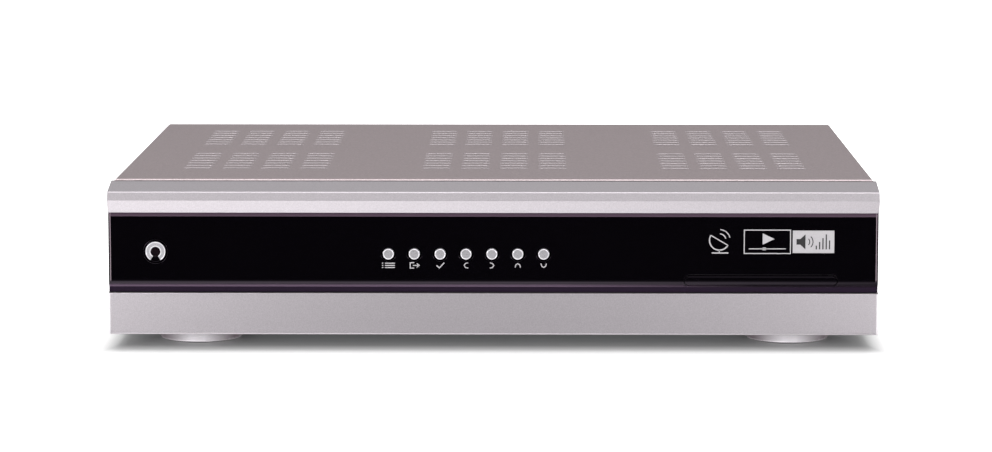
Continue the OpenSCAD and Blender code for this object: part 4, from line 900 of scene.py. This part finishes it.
# brightness of the studio by how steeply it is looked at, from straight down (-1) to straight up (1)
SKY_LEVELS = {
    # the floor is hidden from mirrors, so the lower half stands for the white floor close by
    "floor in front": ((-1.0, 2.6), (-0.93, 1.2), (-0.86, 3.2), (-0.78, 2.9), (-0.6, 0.25),
                       (-0.4, 0.03), (0.0, 0.0)),
    "floor behind": ((-1.0, 0.3), (-0.9, 0.3), (-0.8, 0.7), (0.0, 0.6), (0.02, 0.0)),
    "walls in front": ((0.0, 0.0), (0.1, 0.03), (0.35, 0.35), (0.7, 0.63), (1.0, 0.95)),
    "walls behind": ((0.0, 0.0), (0.1, 0.2), (0.3, 0.23), (0.6, 0.27), (0.8, 0.9), (1.0, 0.95)),
}


def build_floor():
    """A wide matt floor under the feet."""
    half = 4.0
    mesh = bpy.data.meshes.new("floor")
    mesh.from_pydata([(-half, -half, 0), (half, -half, 0), (half, half, 0), (-half, half, 0)], [],
                     [(0, 1, 2, 3)])
    mesh.materials.append(floor_paint())
    floor = bpy.data.objects.new("floor", mesh)
    bpy.context.scene.collection.objects.link(floor)
    # its shine would fill the black window, which faces the dark end of the studio
    floor.visible_glossy = False


def build_sky(scene):
    """The studio's walls as soft gradients: dark at eye level, brighter overhead and steeply below."""
    world = bpy.data.worlds.new("studio")
    scene.world = world
    world.use_nodes = True
    tree = world.node_tree
    tree.nodes.clear()
    looking = along(tree, LOOKING)
    levels = {}
    for name, stops in SKY_LEVELS.items():
        ramp = add(tree, "ShaderNodeValToRGB", {"Fac": product(tree, (looking["Z"], -1, 1))})
        marks = ramp.color_ramp.elements
        for i, (height, level) in enumerate(stops):
            mark = marks[i] if i < 2 else marks.new((height + 1) / 2)
            mark.position = (height + 1) / 2
            mark.color = (level, level, level, 1)
        levels[name] = ramp.outputs["Color"]
    bounced = add(tree, "ShaderNodeLightPath").outputs["Diffuse Depth"]
    # the floor is brighter on the left, where it catches more light
    floor = product(tree, levels["floor in front"], (looking["X"], 0.0, 0.12, 1.0, 0.24))
    floor = layered(tree, floor, (product(tree, (looking["Y"], 0.0, 0.3)), levels["floor behind"]))
    # the shade under the receiver has little of it
    floor = product(tree, floor, (bounced, 0, 1, 1, 0.2))
    above = layered(tree, levels["walls in front"],
                    (product(tree, (looking["Y"], -0.2, 0.2)), levels["walls behind"]))
    # white walls stand at both sides
    sides = product(tree, (aside(tree, LOOKING), 0.6, 0.85), (looking["Z"], 0.5, 0.2, 0, 0.9),
                    (bounced, 0, 1, 1, 0.35))
    light = floor
    for more in (above, sides):
        light = add(tree, "ShaderNodeMath", {0: light, 1: more}, operation="ADD").outputs[0]
    background = add(tree, "ShaderNodeBackground", {"Color": light, "Strength": 1.0})
    add(tree, "ShaderNodeOutputWorld", {"Surface": background.outputs[0]})


def softbox(name, place_at, aim, size, watts, spread=180):
    """A rectangular soft light that faces aim, that no view shows, and that shines over spread degrees."""
    light = bpy.data.lights.new(name, "AREA")
    light.shape = "RECTANGLE"
    light.size, light.size_y = size
    light.energy = watts
    light.spread = math.radians(spread)
    made = bpy.data.objects.new(name, light)
    bpy.context.scene.collection.objects.link(made)
    made.location = place_at
    made.rotation_euler = (Vector(aim) - Vector(place_at)).to_track_quat("-Z", "Y").to_euler()
    made.visible_camera = False


def build_softboxes(settings):
    """One softbox overhead, one over the floor behind, and one low at each side."""
    softbox("top_softbox", place_at=(0, 0.1, 1.4), aim=(0, 0, 0), size=(1.8, 1.2),
            watts=settings.top_light)
    softbox("floor_softbox", place_at=(0, 2.3, 2.2), aim=(0, 2.3, 0), size=(4.0, 2.4),
            watts=settings.floor_light, spread=60)
    for side in (-1, 1):
        softbox("side_softbox", place_at=(side * 0.55, -1.0, 0.18), aim=(0, 0, 0.04), size=(0.3, 0.3),
                watts=settings.side_light)


def build_camera(scene, settings):
    """The camera, at the photographed angle."""
    lens = bpy.data.cameras.new("camera")
    lens.lens = settings.lens
    lens.sensor_width = 36
    camera = bpy.data.objects.new("camera", lens)
    scene.collection.objects.link(camera)
    camera.location = settings.camera_place
    camera.rotation_euler = (math.pi / 2 - settings.camera_pitch, 0, settings.camera_turn)
    scene.camera = camera
    scene.view_settings.view_transform = "Standard"


# ---- operators: one for each piece or group of like pieces ----

class RECEIVER_OT_bezel(bpy.types.Operator):
    """Sprays the front bezel and the feet silver"""
    bl_idname = "receiver.bezel"
    bl_label = "Bezel and feet"

    def execute(self, context):
        dress_all("front_bezel", "foot_pads", "foot_screws", "bezel_screws")
        dress("foot_bodies", foot_silver())
        return {"FINISHED"}


class RECEIVER_OT_window(bpy.types.Operator):
    """Polishes the black window and the card slot's flap"""
    bl_idname = "receiver.window"
    bl_label = "Window and flap"

    def execute(self, context):
        dress_all("front_window", "card_flap")
        return {"FINISHED"}


class RECEIVER_OT_standby(bpy.types.Operator):
    """Finishes the standby button, its ring and its light guide"""
    bl_idname = "receiver.standby"
    bl_label = "Standby button"

    def execute(self, context):
        dress_all("standby_button", "standby_ring", "standby_lens")
        return {"FINISHED"}


class RECEIVER_OT_row_buttons(bpy.types.Operator):
    """Finishes the seven caps of the button row"""
    bl_idname = "receiver.row_buttons"
    bl_label = "Button row"

    def execute(self, context):
        dress_all(*[name + "_button" for name in ROW_BUTTONS])
        return {"FINISHED"}


class RECEIVER_OT_rims(bpy.types.Operator):
    """Adds the polished rims of the caps and of the standby button's ring"""
    bl_idname = "receiver.rims"
    bl_label = "Polished rims"

    def execute(self, context):
        sizes = context.scene.receiver_sizes
        half = sizes.rim_width / 2
        opening = math.degrees(sizes.ring_opening)
        outer, inner = sizes.ring_radius - half, sizes.ring_hole + half
        rims = [(name + "_rim", name, name + "_button", name + "_button", [sizes.cap_radius - half], 0)
                for name in ROW_BUTTONS]
        rims.append(("standby_rims", "standby", "standby_lens", "standby_ring", [outer, inner], opening))
        for name, body, round_node, face_node, radii, gap in rims:
            centre = middle(round_node)
            centre.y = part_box(face_node)[0][1] + sizes.rim_sink
            shape = bmesh.new()
            for radius in radii:
                bead(shape, centre, radius, half, gap / 2 - 90, 270 - gap / 2)
            new_piece(name, mesh_of(shape, name), body, made_once(polished_rim))
        return {"FINISHED"}


class RECEIVER_OT_row_marks(bpy.types.Operator):
    """Prints one mark under each button of the row"""
    bl_idname = "receiver.row_marks"
    bl_label = "Marks of the button row"

    def execute(self, context):
        sizes = context.scene.receiver_sizes
        for name, draw in zip(ROW_BUTTONS, ROW_MARKS):
            centre = middle(name + "_button")
            ink = Print(Vector((centre.x, WINDOW_FACE, centre.z - sizes.mark_drop)), sizes.ink_depth)
            draw(ink, sizes.mark_size, sizes.line_width)
            new_piece(name + "_mark", mesh_of(ink.shape, name + "_mark", smooth=False), "receiver",
                      made_once(white_ink))
        return {"FINISHED"}


class RECEIVER_OT_signs(bpy.types.Operator):
    """Prints three plain signs over the card slot"""
    bl_idname = "receiver.signs"
    bl_label = "Signs over the card slot"

    def execute(self, context):
        sizes = context.scene.receiver_sizes
        slot = middle("card_flap")
        signs = (("dish_sign", dish_sign, -1, 0, white_ink),
                 ("screen_sign", screen_sign, 0, 0, white_ink),
                 ("sound_plate", sound_plate, 1, 0, white_ink),
                 ("sound_sign", sound_sign, 1, sizes.ink_depth, black_ink))
        for name, draw, step, lift, finish in signs:
            ink = Print(Vector((slot.x + sizes.sign_shift + step * sizes.sign_pitch, WINDOW_FACE - lift,
                                slot.z + sizes.sign_lift)), sizes.ink_depth)
            draw(ink, sizes.sign_size, sizes.line_width)
            new_piece(name, mesh_of(ink.shape, name, smooth=False), "receiver",
                      made_once(finish))
        return {"FINISHED"}


class RECEIVER_OT_cover(bpy.types.Operator):
    """Coats the slotted cover and finishes the chassis and its screws"""
    bl_idname = "receiver.cover"
    bl_label = "Cover and chassis"

    def execute(self, context):
        dress_all("top_cover", "chassis_tray", "rear_panel", "cover_screws", "panel_screws")
        return {"FINISHED"}


class RECEIVER_OT_cut_edges(bpy.types.Operator):
    """Rolls the bright cut edge at the rear of every cooling slot"""
    bl_idname = "receiver.cut_edges"
    bl_label = "Cut edges of the slots"

    def execute(self, context):
        sizes = context.scene.receiver_sizes
        cover_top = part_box("top_cover")[1][2]
        slots = bmesh.new()
        for x, y in slot_middles(sizes):
            roll(slots, slot_rear(x, y, sizes.slot_length, sizes.slot_width), cover_top,
                 sizes.roll_radius)
        new_piece("slot_edges", mesh_of(slots, "slot_edges"), "receiver",
                  made_once(cut_edge))
        return {"FINISHED"}


class RECEIVER_OT_sockets(bpy.types.Operator):
    """Finishes the sockets and the switch at the rear"""
    bl_idname = "receiver.sockets"
    bl_label = "Rear sockets"

    def execute(self, context):
        dress_all("lnb_input", "loop_output", "aerial_sockets", "tv_scart", "vcr_scart", "phono_shells",
                  "serial_port", "mains_inlet", "inlet_pins", "switch_housing", "mains_rocker")
        dress("phono_block", phono_plastic(middle("phono_shells"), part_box("rear_panel")[1][1]))
        return {"FINISHED"}


class RECEIVER_OT_boards(bpy.types.Operator):
    """Finishes the boards inside and what stands on them"""
    bl_idname = "receiver.boards"
    bl_label = "Boards inside"

    def execute(self, context):
        dress_all("card_reader_base", "card_reader_lid", "card_board", "front_board", "tact_switches",
                  "digit_display", "infrared_receiver", "status_light", "main_board", "board_standoffs",
                  "board_screws", "decoder_chip", "decoder_heat_sink", "memory_chips", "board_sockets",
                  "ribbon_cable", "power_lead", "tuner_can", "modulator_can", "power_board",
                  "transformer_core", "transformer_winding", "power_capacitors", "power_heat_sink",
                  "line_choke", "mains_fuse")
        return {"FINISHED"}


class RECEIVER_OT_studio(bpy.types.Operator):
    """Sets up the pale floor, the soft light and the camera"""
    bl_idname = "receiver.studio"
    bl_label = "Studio"

    def execute(self, context):
        settings = context.scene.receiver_studio
        build_floor()
        build_sky(context.scene)
        build_softboxes(settings)
        build_camera(context.scene, settings)
        return {"FINISHED"}


# ---- add-on ----

OPERATORS = (
    RECEIVER_OT_bezel, RECEIVER_OT_window, RECEIVER_OT_standby, RECEIVER_OT_row_buttons,
    RECEIVER_OT_rims, RECEIVER_OT_row_marks, RECEIVER_OT_signs, RECEIVER_OT_cover,
    RECEIVER_OT_cut_edges, RECEIVER_OT_sockets, RECEIVER_OT_boards, RECEIVER_OT_studio,
)


class RECEIVER_PT_panel(bpy.types.Panel):
    """Shows the receiver's sizes, colours and studio settings, and its operators"""
    bl_label = "Receiver"
    bl_idname = "RECEIVER_PT_panel"
    bl_space_type = "VIEW_3D"
    bl_region_type = "UI"
    bl_category = "Receiver"

    def draw(self, context):
        scene = context.scene
        for group in (scene.receiver_sizes, scene.receiver_colours, scene.receiver_studio):
            for name in group.bl_rna.properties.keys():
                if name not in ("rna_type", "name"):
                    self.layout.prop(group, name)
        for operator in OPERATORS:
            self.layout.operator(operator.bl_idname)


CLASSES = (ReceiverSizes, ReceiverColours, ReceiverStudio, *OPERATORS, RECEIVER_PT_panel)


def register():
    for item in CLASSES:
        bpy.utils.register_class(item)
    bpy.types.Scene.receiver_sizes = bpy.props.PointerProperty(type=ReceiverSizes)
    bpy.types.Scene.receiver_colours = bpy.props.PointerProperty(type=ReceiverColours)
    bpy.types.Scene.receiver_studio = bpy.props.PointerProperty(type=ReceiverStudio)


def unregister():
    del bpy.types.Scene.receiver_studio
    del bpy.types.Scene.receiver_colours
    del bpy.types.Scene.receiver_sizes
    for item in reversed(CLASSES):
        bpy.utils.unregister_class(item)


def main():
    register()
    bpy.ops.receiver.studio()
    bpy.ops.receiver.bezel()
    bpy.ops.receiver.window()
    bpy.ops.receiver.standby()
    bpy.ops.receiver.row_buttons()
    bpy.ops.receiver.rims()
    bpy.ops.receiver.row_marks()
    bpy.ops.receiver.signs()
    bpy.ops.receiver.cover()
    bpy.ops.receiver.cut_edges()
    bpy.ops.receiver.sockets()
    bpy.ops.receiver.boards()


if __name__ == "__main__":
    main()
